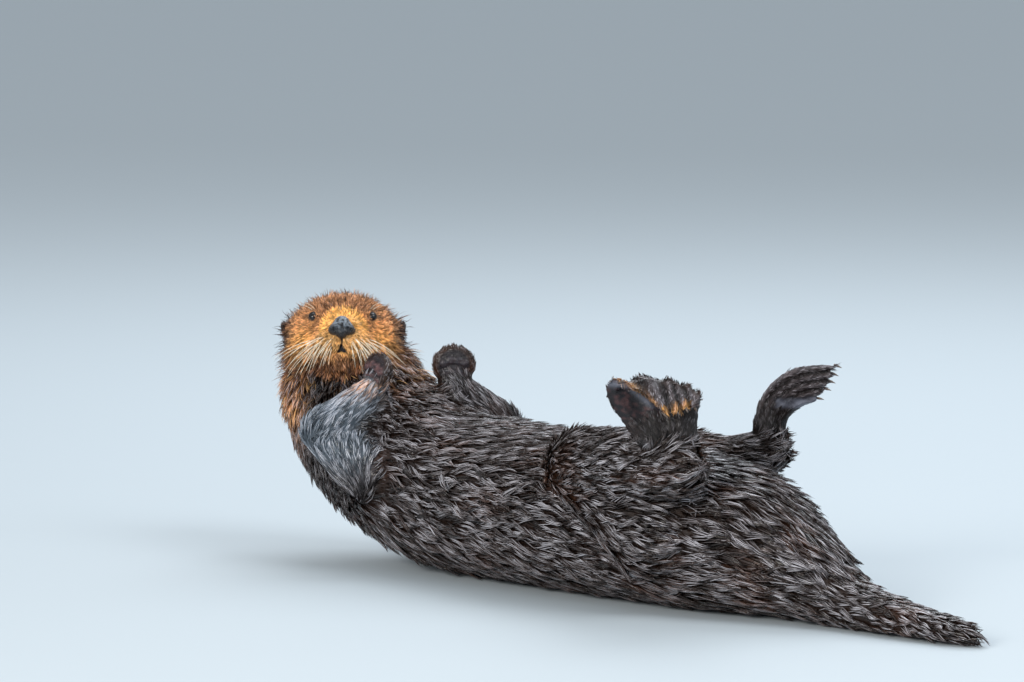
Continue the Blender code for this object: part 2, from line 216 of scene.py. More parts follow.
coatOfNode = {
    "neck": "neck", "chest": "trunk", "belly": "trunk", "rump": "trunk", "tail": "tail",
    "ear_right": "ear", "ear_left": "ear", "head": "crown",
}
for side in bothSides:
    coatOfNode.update({
        f"upper_arm_{side}": "arm", f"forearm_{side}": "arm", f"forepaw_{side}": "paw",
        f"thigh_{side}": "leg", f"shank_{side}": "shank", f"hind_foot_{side}": "foot",
    })
fleshNodes = list(coatOfNode)
eyes = {side: toHead(np.array([middleOf("eye_" + side)]))[0] for side in bothSides}
noseAt = toHead(np.array([middleOf("nose")]))[0]


def facePlane(local):  # across the face and up it, as seen from slightly below the nose, in mm
    return local[:, 0], 0.985 * local[:, 2] + 0.174 * local[:, 1]


ovals = {  # middle across and up the face, and half its size, in mm
    "arch": ((-1.5, 13), (31, 34)),  # the golden arch over the nose
    "pads": ((17, -5), (22, 19)),  # the whisker pads
    "muzzle": ((0, 8), (44, 46)),
}


def faceMasks(local):  # where the face's kinds of coat and its markings lie
    x, up = facePlane(local)
    ahead, wide = local[:, 1], np.abs(x)
    front = smoothStep(ahead, 0, 26)
    away = np.minimum(*(lengths(local - eyes[side]) for side in eyes))
    wobble = 3.0 * drift(local, 14, 3)
    band = oval(x, up, *ovals["arch"]) + wobble / 80
    pads = oval(wide, up, *ovals["pads"]) + wobble / 34
    high = np.where(up > 14, 56, 42)
    brow = bell((band, 1.20, 0.16)) * smoothStep(up, 4, 22)
    tan = (wide / 72) ** 2.5 + (np.abs(up - 14) / high) ** 2.5 + wobble / 40
    lessTan = (1 - 0.5 * brow) * (1 - 0.45 * smoothStep(up, 32, 48))
    return {
        "front": front,
        "gold": front * (1 - smoothStep(band, 0.93, 1.02)),
        "cream": front * (1 - smoothStep(pads, 0.70, 1.10)),
        "muzzle": front * (1 - smoothStep(oval(x, up, *ovals["muzzle"]), 0.75, 1.1)),
        "lids": 1 - smoothStep(away, 9, 14),
        "chin": front * smoothStep(-up, 22, 30) * (1 - smoothStep(wide, 30, 46)),
        "cheek": smoothStep(-up + 0.35 * wide, 12, 34) * smoothStep(wide, 22, 46),
        "ruff": smoothStep(-ahead, -14, 8) * smoothStep(wide - up, 0, 40),
        "tan": smoothStep(ahead, -18, 12) * (1 - smoothStep(tan, 0.66, 1.00)) * lessTan,
        "bright": front * bell((wide, 50, 17), (up, 1, 20)),
        "dark": roundEyes(local),
        "below": front * bell((x, 0, 11), (up, -26, 6)),
    }


def roundEyes(local):  # the shadowed corners of the eyes and the brows above them
    dark = np.zeros(len(local))
    for side, centre in eyes.items():
        outward = (local[:, 0] - centre[0]) * (1 if side == "right" else -1)
        above = local[:, 2] - centre[2]
        corner = bell((outward, 9, 5), (above, 1.5, 3))
        over = bell((outward, -2, 8), (above, 9, 3.5))
        dark = np.maximum(dark, np.maximum(corner, 0.55 * over) * (local[:, 1] > 0))
    return dark


def nearestNodes(points):  # for each point, the number of the flesh node that it belongs to
    corners, faces, owner = [], [], []
    for number, name in enumerate(fleshNodes):
        own, triangles = meshArrays(nodes[name].data)
        faces.append(triangles + sum(len(c) for c in corners))
        corners.append(own)
        owner.extend([number] * len(triangles))
    tree = BVHTree.FromPolygons(np.vstack(corners).tolist(), np.vstack(faces).tolist())
    return np.array([owner[tree.find_nearest(p)[2]] for p in points])


def onNodes(owner, *names):
    return np.isin(owner, [fleshNodes.index(name) for name in names])


def perNode(owner, value):  # a number at each point, from the name of its node
    return np.array([value(name) for name in fleshNodes], float)[owner]


def coatShares(points, owner, edges, rounds):  # how much of each kind of coat each point has
    shares = np.zeros((len(points), len(coatNames)))
    kinds = np.array([coatNames.index(coatOfNode[name]) for name in fleshNodes])
    shares[np.arange(len(points)), kinds[owner]] = 1
    shares = relax(shares, edges, rounds)
    masks = faceMasks(toHead(points))
    takings = [  # a kind of coat, how much it takes over, and from which kinds
        ("ruff", masks["ruff"], ["crown"]),
        ("cheek", masks["cheek"], ["crown"]),
        ("face", masks["muzzle"], ["crown"]),
        ("chin", masks["chin"], ["crown", "face"]),
        ("face", 0.75 * masks["front"] * masks["tan"], ["crown"]),
        ("lids", masks["lids"], coatNames),
    ]
    for name, mask, givers in takings:
        givers = [coatNames.index(giver) for giver in givers]
        moved = shares[:, givers] * mask[:, None]
        shares[:, givers] -= moved
        shares[:, coatNames.index(name)] += moved.sum(1)
    return shares / shares.sum(1, keepdims=True)


# the skin: one shape over all the flesh, inside it by the depth of the coat

skinSettings = {
    "voxel": 2.4 * mm,  # fineness of the first skin
    "grow": 0.8 * mm,  # closes the cuts between the solids
    "smoothing": {
        "neck": 26, "trunk": 26, "arm": 14, "leg": 14, "shank": 12, "tail": 14, "crown": 5, "foot": 1,
        "paw": 2, "ear": 1,
    },
    "longFur": ("neck", "trunk", "tail", "leg", "shank", "arm"),
    "share": 0.30,  # of the faces that are kept under long fur
}


def joinedFlesh():  # every flesh solid, and those set into it, a little larger, in one mesh
    joined = bmesh.new()
    for name in (*fleshNodes, "nose", "eye_right", "eye_left"):
        part = bmesh.new()
        part.from_mesh(nodes[name].data)
        bmesh.ops.remove_doubles(part, verts=part.verts, dist=0.01 * mm)
        part.normal_update()
        for vertex in part.verts:
            vertex.co += vertex.normal * skinSettings["grow"]
        copy = bpy.data.meshes.new("part")
        part.to_mesh(copy)
        part.free()
        joined.from_mesh(copy)
        bpy.data.meshes.remove(copy)
    return pieceFrom(joined, "skin")


eyeSettings = {
    "out": {"right": (0.24, 0.90, 0.12), "left": (-0.36, 0.90, 0.12)},  # where they look, in the head
    "ball": 8.0,  # radius
    "across": 4.3,  # half the width and the height of the opening between the lids
    "up": 5.8,
    "lid": 0.9,  # thickness of the lids' edges
    "flat": 5.4,  # how far the skin round the lids lies out from the eyeball's middle
    "reach": 2.3,  # where the lids have run out, as a multiple of the opening
    "cornea": 0.5,  # how far it stands out
    "pupil": (0.80, 0.93),  # where the iris ends and the pupil is whole
    "iris": ((0.008, 0.004, 0.003, 1), (0.022, 0.010, 0.005, 1)),
    "black": (0.002, 0.002, 0.002, 1),
}


def eyeFrame(side):  # a column for across, up and out of the eye, in the head's directions
    out = Vector(eyeSettings["out"][side]).normalized()
    across = Vector((0, 0, 1)).cross(out).normalized()
    return np.array([across, out.cross(across), out])


def fromLids(fromEye):  # 0 in the middle of the opening between the lids and 1 at its edge
    return oval(fromEye[:, 0], fromEye[:, 1], (0, 0), (eyeSettings["across"], eyeSettings["up"]))


def shapeLids(local):  # opens the skin over the eyeballs and lays lids round them
    for side, centre in eyes.items():
        axes = eyeFrame(side)
        fromEye = (local - centre) @ axes.T
        near = (lengths(fromEye) < 24) & (fromEye[:, 2] > -2)
        q, out = fromEye[near, :2], fromEye[near, 2]
        size = fromLids(q)
        ball = np.sqrt(np.maximum(eyeSettings["ball"] ** 2 - (q ** 2).sum(1), 4.0))
        upper = 0.5 + 0.5 * np.clip(q[:, 1] / 5, -1, 1)
        lid = ball + eyeSettings["lid"] + 0.5 * upper
        flat = eyeSettings["flat"] + 0.9 * upper * bell((size, 1.5, 0.35))
        blend = smoothStep(size, 1.05, 1.55)
        rim = lid * (1 - blend) + np.minimum(out, flat + 1.2) * blend
        beyond = smoothStep(size, 1.6, eyeSettings["reach"])
        rim = rim * (1 - beyond) + out * beyond
        opened = 1 - smoothStep(size, 0.93, 1.03)
        target = (ball - 1.8) * opened + rim * (1 - opened)  # behind the eyeball's surface in the opening
        local[near] += np.outer(target - out, axes[2])
    return local


mouth = {
    "apex": -7.0,  # where the groove under the nose meets the mouth, up the face in mm
    "half": 9.0,  # half the width of the mouth's foot
    "drop": 13.0,
    "groove": 2.6,  # depths of the groove and of the mouth
    "depth": 5.5,
    "pads": 2.2,  # swell of the whisker pads and of the lower lip
    "lip": 1.6,
    "fold": 1.2,  # depth of the fold round the muzzle
}


def mouthLine(x, up):  # how far a place is in the groove, and in the mouth between the lips, 0 to 1
    narrow = 1.8 + 3.2 * smoothStep(up, mouth["apex"] + 3, 12)
    groove = bell((x, 0, narrow)) * smoothStep(up, mouth["apex"] - 2, mouth["apex"] + 1)
    groove *= 1 - smoothStep(up, 12, 15)
    fall = (mouth["apex"] - up) / mouth["drop"]
    half = mouth["half"] * np.clip(fall, 0, 1) ** 0.7
    between = smoothStep(half - np.abs(x), -0.6, 1.6) * smoothStep(fall, -0.05, 0.1)
    return groove, between * (1 - smoothStep(fall - 0.22 * (x / mouth["half"]) ** 2, 0.74, 0.94))


def shapeMuzzle(local):  # the groove under the nose, the mouth and the swell of the whisker pads
    x, up = facePlane(local)
    front = smoothStep(local[:, 1], 44, 60)
    groove, opening = mouthLine(x, up)
    local[:, 1] -= front * (mouth["groove"] * groove + mouth["depth"] * opening)
    local[:, 1] += mouth["pads"] * front * bell((np.abs(x), 15, 10), (up, -4, 11))
    lip = bell((x, 0, 10), (up - mouth["apex"] + mouth["drop"], -4, 3.5))
    local[:, 1] += mouth["lip"] * front * lip
    fold = bell((np.hypot(x, (up - 6) / 1.15), 38, 3.0)) * smoothStep(local[:, 1], 30, 50)
    local[:, 1] -= mouth["fold"] * fold * (np.abs(x) > 12)
    return local


def pawFrame(side):  # across the palm, out of the palm and along the fingers
    palm = palmFacing[side]
    own = np.array([v.co for v in nodes["forepaw_" + side].data.vertices])
    fingers = Vector((0, 0, 1)) + acrossFace * (math.tan(math.radians(18)) if side == "right" else 0)
    fingers = (fingers - palm * fingers.dot(palm)).normalized()
    across = fingers.cross(palm)
    return np.array([across, palm, fingers]), own.mean(0)


pawSettings = {
    "palm": ((0, 1), (25, 26)),  # its middle, and half its size
    "pads": [  # their places and sizes, across the palm and up it, in mm
        ((0, -9), (17, 9)), ((-14, 5), (6.5, 6)), ((-5, 9), (6, 6)),
        ((5, 9), (6, 6)), ((14, 5), (6.5, 6)),
    ],
    "swell": 2.6,  # heights of the pads, of the palm between them and of its creases
    "hollow": 1.2,
    "crease": 0.45,
    "furrow": 2.4,  # depth between the toes
}


def footBase(side):  # where the foot leaves the shank
    own = np.array([v.co for v in nodes["hind_foot_" + side].data.vertices])
    return own[own[:, 2] < np.quantile(own[:, 2], 0.12)].mean(0)


def inFoot(points, side):  # across, towards the front and up from the ankle, in mm
    return (points - footBase(side)) @ np.array([acrossFace, faceLevel, (0, 0, 1)]).T / mm


def clawsOf(side):
    return inFoot(np.array([middleOf(f"claw_hind_{side}_{k}") for k in range(1, 6)]), side)


def aroundLeftFoot(own):  # how far along the bent toes, 0 to 1, and how far from where they bend
    lowest = clawsOf("left")[0]
    across, high = own[:, 0] - lowest[0] + 8, own[:, 2] - lowest[2] + 61
    return (2.55 - np.arctan2(high, across)) / 1.05, np.hypot(across, high)


def toeOf(own, side):  # which toe a place lies on, from 0 to 4
    if side == "left":  # they bend over round one place, the upper ones further from it
        turned, away = aroundLeftFoot(own)
        return np.interp(away / (1 + 0.27 * turned), [46, 55, 64, 73, 83], np.arange(5))
    line = np.array([1, 0, 0.35])  # across the curled toes, from the outer to the inner
    return np.interp(own @ line, clawsOf(side)[::-1] @ line, np.arange(5))


def underTips(own):  # how far below the curled toes' tips a place in the right foot is
    tips = clawsOf("right")[::-1]
    return np.interp(own[:, 0], tips[:, 0], tips[:, 2] + [4, 2, 2, 2, 2]) - own[:, 2]


def palmOf(points, normals, side):
    axes, centre = pawFrame(side)
    own = (points - centre) @ axes.T / mm
    facing = smoothStep(normals @ axes[1], 0.15, 0.6)
    inside = 1 - smoothStep(oval(own[:, 0], own[:, 2], *pawSettings["palm"]), 0.75, 1.0)
    return own, facing * inside, axes


def padSwell(own):
    swell = np.zeros(len(own))
    for middle, half in pawSettings["pads"]:
        away = oval(own[:, 0], own[:, 2], middle, half)
        swell = np.maximum(swell, np.sqrt(np.maximum(1 - away ** 2, 0)))
    return swell


def creases(own):  # across the palm
    return np.cos(own[:, 2] * 1.1 + 1.2 * np.sin(own[:, 0] * 0.2))


def shapePaws(points, normals, owner):
    for side in bothSides:
        mine = onNodes(owner, "forepaw_" + side)
        own, palm, axes = palmOf(points[mine], normals[mine], side)
        height = pawSettings["swell"] * padSwell(own) - pawSettings["hollow"]
        height += pawSettings["crease"] * creases(own)
        points[mine] += np.outer(palm * height * mm, axes[1])
    for side in bothSides:
        mine = onNodes(owner, "hind_foot_" + side)
        own = inFoot(points[mine], side)
        furrow = 0.5 - 0.5 * np.cos(2 * math.pi * toeOf(own, side))
        if side == "right":
            furrow *= smoothStep(own[:, 1], 8, 16) * smoothStep(-underTips(own), -4, 2)
        else:
            furrow *= smoothStep(own[:, 2], 38, 60)
        points[mine] -= normals[mine] * (pawSettings["furrow"] * furrow * mm)[:, None]
    return points


def smoothed(points, edges, owner):  # each place as much as its kind of coat says
    rounds = perNode(owner, lambda name: skinSettings["smoothing"][coatOfNode[name]])
    rounds = relax(rounds[:, None], edges, 12)
    for turn in range(int(rounds.max())):
        points = relax(points, edges, 1, 0.5 * np.clip(rounds - turn, 0, 1))
    return points


def thinned(skin, edges, owner):  # fewer faces where long fur grows
    thick = perNode(owner, lambda name: coatOfNode[name] in skinSettings["longFur"])
    thick = relax(thick[:, None], edges, 6)[:, 0]
    longFur = skin.vertex_groups.new(name="longFur")
    for level in range(1, 11):
        members = np.flatnonzero(np.ceil(thick * 10) == level)
        longFur.add(members.tolist(), level / 10, "REPLACE")
    thin = skin.modifiers.new("fewerFaces", "DECIMATE")
    thin.vertex_group, thin.ratio = "longFur", skinSettings["share"]
    return baked(skin)


def finerFace(mesh):  # more faces where the lids, the nose and the mouth are
    shape = bmesh.new()
    shape.from_mesh(mesh)
    shape.verts.ensure_lookup_table()
    local = toHead(np.array([v.co for v in shape.verts]))
    _, up = facePlane(local)
    fine = (local[:, 1] > 8) & (np.abs(local[:, 0]) < 62) & (up > -46) & (up < 58)
    chosen = [e for e in shape.edges if fine[e.verts[0].index] and fine[e.verts[1].index]]
    bmesh.ops.subdivide_edges(shape, edges=chosen, cuts=1, use_grid_fill=True)
    bmesh.ops.triangulate(shape, faces=shape.faces)
    shape.to_mesh(mesh)
    shape.free()
    mesh.shade_smooth()


def makeSkin():
    skin = joinedFlesh()
    mesh = remeshed(skin, skinSettings["voxel"])
    points, triangles = meshArrays(mesh)
    edges = edgesOf(mesh)
    owner = nearestNodes(points)
    points = smoothed(points, edges, owner)
    depth = coatShares(points, owner, edges, 8) @ coatTable[:, 5:6]
    depth = relax(depth, edges, 6)
    points = points - normalsOf(points, triangles) * (depth * mm + skinSettings["grow"])
    setPoints(mesh, points)
    mesh = thinned(skin, edges, owner)
    finerFace(mesh)
    points, triangles = meshArrays(mesh)
    edges = edgesOf(mesh)
    local = toHead(points)
    onFace = (local[:, 1] > 8) & (lengths(local) < 120)
    points = relax(points, edges, 3, 0.5 * onFace[:, None])
    local = shapeMuzzle(shapeLids(toHead(points)))
    points = np.where(onFace[:, None], fromHead(local), points)
    owner = nearestNodes(points)
    points = shapePaws(points, normalsOf(points, triangles), owner)
    setPoints(mesh, points)
    print("skin", len(points), "points", len(triangles), "triangles")
    return skin, points, triangles, edges, owner


skin, points, triangles, edges, owner = makeSkin()


# the lie of the coat and the markings, painted shade and reflection among them, at every point of the skin

def spineWay(points):  # the direction along the body, from the head to the tail
    line = np.array([headOrigin, *(middleOf(name) for name in spineNodes)])
    line = np.vstack([line, line[-1] + (line[-1] - line[-2])])
    away = ((points[:, None] - (line[:-1] + line[1:]) / 2) ** 2).sum(2)
    share = np.exp(-away / 0.09 ** 2) + 1e-9
    return unit(share @ unit(line[1:] - line[:-1]))


def headWay(points):  # away from the nose over the face, and down the neck from the back of the head
    local = toHead(points)
    ahead = unit(local - np.array([0, 62, 2]))
    ahead[:, 2] -= 0.55 * smoothStep(-local[:, 2], -10, 25)
    neckWay = np.array(middleOf("neck") - headOrigin) @ headAxes.T
    back = smoothStep(-local[:, 1], -20, 40)[:, None]
    way = ahead * (1 - back) + neckWay / np.linalg.norm(neckWay) * back
    for centre in eyes.values():  # round the eyes
        fromEye = local - centre
        close = bell((lengths(fromEye), 0, 15))[:, None]
        way = way * (1 - 0.75 * close) + unit(fromEye) * 0.9 * close
    return unit(way) @ headAxes


spineNodes = ("neck", "chest", "belly", "rump", "tail")


def layOfCoat(points, triangles, edges, owner):
    way = np.zeros((len(points), 3))
    for number, name in enumerate(fleshNodes):
        mine = owner == number
        own, side = points[mine], name.split("_")[-1]
        if name == "head":
            way[mine] = headWay(own)
        elif name.startswith("ear"):
            way[mine] = unit(own - np.array(headOrigin))
        elif name in spineNodes or name.startswith("thigh"):
            way[mine] = spineWay(own)
        elif name.startswith("hind_foot"):
            out = inFoot(own, side)
            curl = smoothStep(out[:, 1], 10, 18)[:, None] if side == "right" else 0
            downwards = np.array(faceLevel) * 0.75 - np.array([0, 0, 0.65])
            turned = 2.55 - 1.05 * aroundLeftFoot(out)[0][:, None]
            alongToes = np.array(acrossFace) * np.sin(turned) - np.array([0, 0, 1]) * np.cos(turned)
            alongToes += np.array(faceLevel) * 0.45
            bent = smoothStep(out[:, 2], 30, 60)[:, None] if side == "left" else 0
            outwards = unit(own - footBase(side) + [0, 0, 0.03]) * (1 - bent) + alongToes * bent
            way[mine] = outwards * (1 - curl) + downwards * curl
        elif name.startswith("forepaw"):
            way[mine] = pawFrame(side)[0][2]
        elif "arm" in name:  # towards the paw
            ahead = "forepaw_" if name.startswith("forearm") else "forearm_"
            way[mine] = (middleOf(ahead + side) - middleOf(name)).normalized()
        else:
            way[mine] = (1.0, 0.0, 0.12)
    normals = normalsOf(points, triangles)
    for _ in range(3):
        way = relax(unit(way), edges, 6)
        way -= normals * (way * normals).sum(1, keepdims=True)
    return unit(way), normals


def bareSkin(points, normals, owner):  # soles, palms, lips and rims of the lids; what is flushed, and where a painted bluish sheen and highlight lie
    bare, flush, pale = (np.zeros(len(points)) for _ in range(3))
    for side in bothSides:
        paw = onNodes(owner, "forepaw_" + side)
        own, bare[paw], _ = palmOf(points[paw], normals[paw], side)
        swell = padSwell(own)
        flush[paw] = (0.15 + 1.0 * swell) * (1.0 if side == "right" else 0.15)
        # a painted highlight on the tops of the pads and creases
        pale[paw] = (0.05 if side == "right" else 0.10) * smoothStep(swell + 0.5 * creases(own), 0.2, 1.2)
        foot = onNodes(owner, "hind_foot_" + side)
        own = inFoot(points[foot], side)
        facing = smoothStep(normals[foot] @ np.array(soleFacing[side]), -0.15, 0.35)
        high = own[:, 2] / own[:, 2].max()
        if side == "right":
            below = underTips(own)
            under = smoothStep(below, 0, 3) * (1 - smoothStep(own[:, 1], 24, 30))
            bare[foot] = facing * under * smoothStep(high - 0.003 * own[:, 0], 0.42, 0.60)
            # a painted bluish sheen in a band below the curled toes' tips
            pale[foot] = 0.55 * bell((below, 8, 4.5)) * smoothStep(-own[:, 0], 14, 36)
            flush[foot] = 0.6 * smoothStep(drift(own, 9, 14), -0.2, 0.8)
        else:
            under = np.interp(own[:, 0], [2, 30, 62], [56, 61, 66]) - own[:, 2]
            web = smoothStep(under, -1, 5) * smoothStep(own[:, 0], -6, 6)
            web *= smoothStep(own[:, 2], 36, 44) * (1 - facing)
            bare[foot] = np.maximum(facing * smoothStep(high, 0.25, 0.5), web)
            # a painted bluish sheen in streaks over the web
            pale[foot] = 0.8 * web * smoothStep(drift(own * [1, 1, 5], 30, 12), -1.0, 0.6)
    local = toHead(points)
    x, up = facePlane(local)
    groove, opening = mouthLine(x, up)
    front = smoothStep(local[:, 1], 44, 60)
    lips = np.maximum(smoothStep(groove, 0.3, 0.8), smoothStep(opening, 0.04, 0.30))
    bare = np.maximum(bare, front * lips)
    for side, centre in eyes.items():
        fromEye = (local - centre) @ eyeFrame(side).T
        rim = (1 - smoothStep(fromLids(fromEye), 1.12, 1.3)) * (lengths(fromEye) < 16)
        bare = np.maximum(bare, rim)
    under = lengths((local - noseAt) / np.array([19, 16, 13]))
    return np.maximum(bare, 1 - smoothStep(under, 0.8, 1.0)), flush, pale


def limbMarks(points, owner):  # the right wrist, the toes' orange tips, the painted highlight on the toes' ridges and the painted shade in the furrows between them, the ankles
    wrist, tips, ridge, furrows, stalk = (np.zeros(len(points)) for _ in range(5))
    paw = onNodes(owner, "forepaw_right", "forearm_right")
    axes, centre = pawFrame("right")
    own = (points[paw] - centre) @ axes.T / mm
    wrist[paw] = bell((own[:, 2], -24, 11)) * smoothStep(own[:, 1], -6, 4)
    foot = onNodes(owner, "hind_foot_right")
    own = inFoot(points[foot], "right")
    away = np.min(np.linalg.norm(own[:, None] - clawsOf("right")[1:4], axis=2), axis=1)
    rim = bell((underTips(own), -2, 5)) * smoothStep(-own[:, 0], 14, 30)
    tips[foot] = smoothStep(own[:, 1], 12, 24) * np.maximum(1 - smoothStep(away, 10, 18), rim)
    for side in bothSides:
        foot = onNodes(owner, "hind_foot_" + side)
        own = inFoot(points[foot], side)
        stalk[foot] = 1 - smoothStep(own[:, 2], 25, 60)
        seen = smoothStep(own[:, 1], 8, 18) if side == "right" else smoothStep(own[:, 2], 30, 55)
        # on the seen side of the toes: painted highlight on each ridge, painted shade in the furrows
        onRidge = np.cos(math.pi * toeOf(own, side)) ** 2
        ridge[foot] = onRidge * seen
        furrows[foot] = (1 - onRidge) * seen
    return wrist, tips, ridge, furrows, stalk


def markings(points, owner, edges):  # how much of each colour of the coat each point has, painted shade and reflection among them
    local = toHead(points)
    masks = faceMasks(local)
    x, up = facePlane(local)

    def near(test, rounds):
        return relax(perNode(owner, test)[:, None], edges, rounds)[:, 0]

    head = near(lambda n: n == "head", 4)
    # where the grey painted reflection lies on the wet forearms, mostly the right, stronger higher up
    arms = near(lambda n: "arm_right" in n, 10) + 0.12 * near(lambda n: "arm_left" in n, 10)
    arms *= 0.2 + 0.8 * smoothStep(points[:, 2] - headOrigin.z, -0.175, -0.120)
    streaks = drift(points * [3, 3, 1], 0.012, 9)
    ruddy = smoothStep(drift(points, 0.055, 5) + 0.5 * drift(points, 0.02, 6), 0.35, 1.1)
    ruff = bell((lengths(local), 95, 34)) * (up < 0) * smoothStep(np.abs(x), 32, 58)
    chin = head * masks["chin"]
    farSide = smoothStep(-x, 30, 75)
    neck = near(lambda n: n == "neck", 6)
    # painted shadow on the throat under the chin
    throat = neck * smoothStep(local[:, 1], -5, 20) * (1 - smoothStep(np.abs(x), 34, 58))
    leftArm = near(lambda n: "left" in n and ("arm" in n or "paw" in n), 6)
    leftPaw = near(lambda n: n == "forepaw_left", 4)
    strands = smoothStep(streaks, -0.5, 0.3)
    aboveJaw = smoothStep(up - 0.55 * np.abs(x), -46, -26)
    offSides = 1 - 0.75 * smoothStep(np.abs(x), 56, 72) * (1 - smoothStep(up, 30, 55))
    wrist, tips, ridge, furrows, stalk = limbMarks(points, owner)
    # painted shade in the gaps between the ruff's strands, more on the far side
    gapShade = 0.55 - 0.55 * smoothStep(streaks, -0.9, 0.0) + 0.15 * farSide
    onRuff = ruff * (1 - 0.7 * farSide) * smoothStep(streaks, -0.3, 0.4)
    found = {
        "gold": head * (masks["gold"] + 0.80 * masks["bright"]) + 0.65 * tips * strands,
        "cream": head * masks["cream"] * (1 - 0.8 * masks["below"]),
        "tan": head * masks["tan"] * (1 - 0.6 * masks["below"]) + 0.8 * tips + 0.6 * wrist * strands
        + 0.9 * onRuff + 0.3 * chin * strands,
        "crown": head * smoothStep(local[:, 1], -26, 12) * aboveJaw * offSides,
        # the toes' ridges get a painted highlight in ruddy and grey
        "ruddy": 0.25 * ruddy + 0.75 * ruff + 0.8 * chin + 0.4 * head + 0.6 * ridge + 0.4 * leftPaw,
        "grey": arms + 0.50 * ridge,
        # black: painted shade at the eyes' corners and brows, on the throat, in the toes' furrows and in
        # the ruff's gaps; also a darker left forelimb and ankles
        "black": 0.85 * head * masks["dark"] + 0.6 * throat + 0.9 * furrows + 0.4 * leftArm + 0.7 * stalk
        + ruff * gapShade,
    }
    return {name: np.clip(values, 0, 1) for name, values in found.items()}


way, normals = layOfCoat(points, triangles, edges, owner)
shares = coatShares(points, owner, edges, 8)
styles = shares @ coatTable  # length, width, rise, number, pull, depth at each point
besideNose = bell((lengths(toHead(points) - noseAt), 17, 6))
styles[:, 2] += 14 * besideNose  # clear of the muzzle's swell
bare, flush, pale = bareSkin(points, normals, owner)
marks = markings(points, owner, edges)
print("lie of the coat and", len(marks), "markings")


# materials

def group(name, inputs, outputs):
    tree = bpy.data.node_groups.new(name, "ShaderNodeTree")
    for label, kind, value in inputs:
        made = tree.interface.new_socket(label, in_out="INPUT", socket_type=kind)
        made.default_value = value
    for label, kind in outputs:
        tree.interface.new_socket(label, in_out="OUTPUT", socket_type=kind)
    return tree, tree.nodes.new("NodeGroupInput").outputs, tree.nodes.new("NodeGroupOutput").inputs


def put(tree, target, value):  # a link from a socket, or a constant
    if isinstance(value, bpy.types.NodeSocket):
        tree.links.new(value, target)
    else:
        target.default_value = value


def fill(tree, node, values):  # a link or a constant for each named input
    for label, value in values.items():
        put(tree, node.inputs[label], value)


def maths(tree, operation, *values, clamp=False):
    node = tree.nodes.new("ShaderNodeMath")
    node.operation, node.use_clamp = operation, clamp
    for target, value in zip(node.inputs, values):
        put(tree, target, value)
    return node.outputs[0]


def mixed(tree, share, first, second, blend="MIX"):
    node = tree.nodes.new("ShaderNodeMix")
    node.data_type, node.blend_type = "RGBA", blend
    for target, value in ((node.inputs[0], share), (node.inputs[6], first), (node.inputs[7], second)):
        put(tree, target, value)
    return node.outputs[2]


def positionOf(tree):
    return tree.nodes.new("ShaderNodeNewGeometry").outputs["Position"]


def noise(tree, position, scale, detail=2.0):
    node = tree.nodes.new("ShaderNodeTexNoise")
    fill(tree, node, {"Vector": position, "Scale": scale, "Detail": detail})
    return node.outputs[0]


def spread(tree, value, low, high, to=(0.0, 1.0)):
    node = tree.nodes.new("ShaderNodeMapRange")
    fill(tree, node, {"Value": value, "From Min": low, "From Max": high, "To Min": to[0], "To Max": to[1]})
    return node.outputs["Result"]


def attribute(tree, name):
    node = tree.nodes.new("ShaderNodeAttribute")
    node.attribute_name = name
    return node.outputs["Fac"]


coatColours = {
    "Umber": (0.034, 0.019, 0.014, 1),
    "Ruddy": (0.150, 0.052, 0.020, 1),
    # Grey is a painted reflection of the sky on the wet forearms and a painted highlight on the toes'
    # ridges
    "Grey": (0.120, 0.150, 0.185, 1),
    "Crown": (0.235, 0.100, 0.042, 1),
    "Tan": (0.920, 0.420, 0.160, 1),
    "Gold": (1.000, 0.520, 0.135, 1),
    "Cream": (0.880, 0.490, 0.175, 1),
    # Black is mostly painted shade: the eyes' corners and brows, the throat, the toes' furrows and the
    # ruff's gaps; it is also the colour of the dark guard hairs, and it darkens the left forelimb and the
    # ankles
    "Black": (0.006, 0.005, 0.006, 1),
    # Sheen is a painted highlight, mixed into the colour along the ridges of wet locks
    "Sheen": (0.550, 0.540, 0.585, 1),
}
layers = [(label, label.lower()) for label in coatColours if label not in ("Umber", "Sheen")]


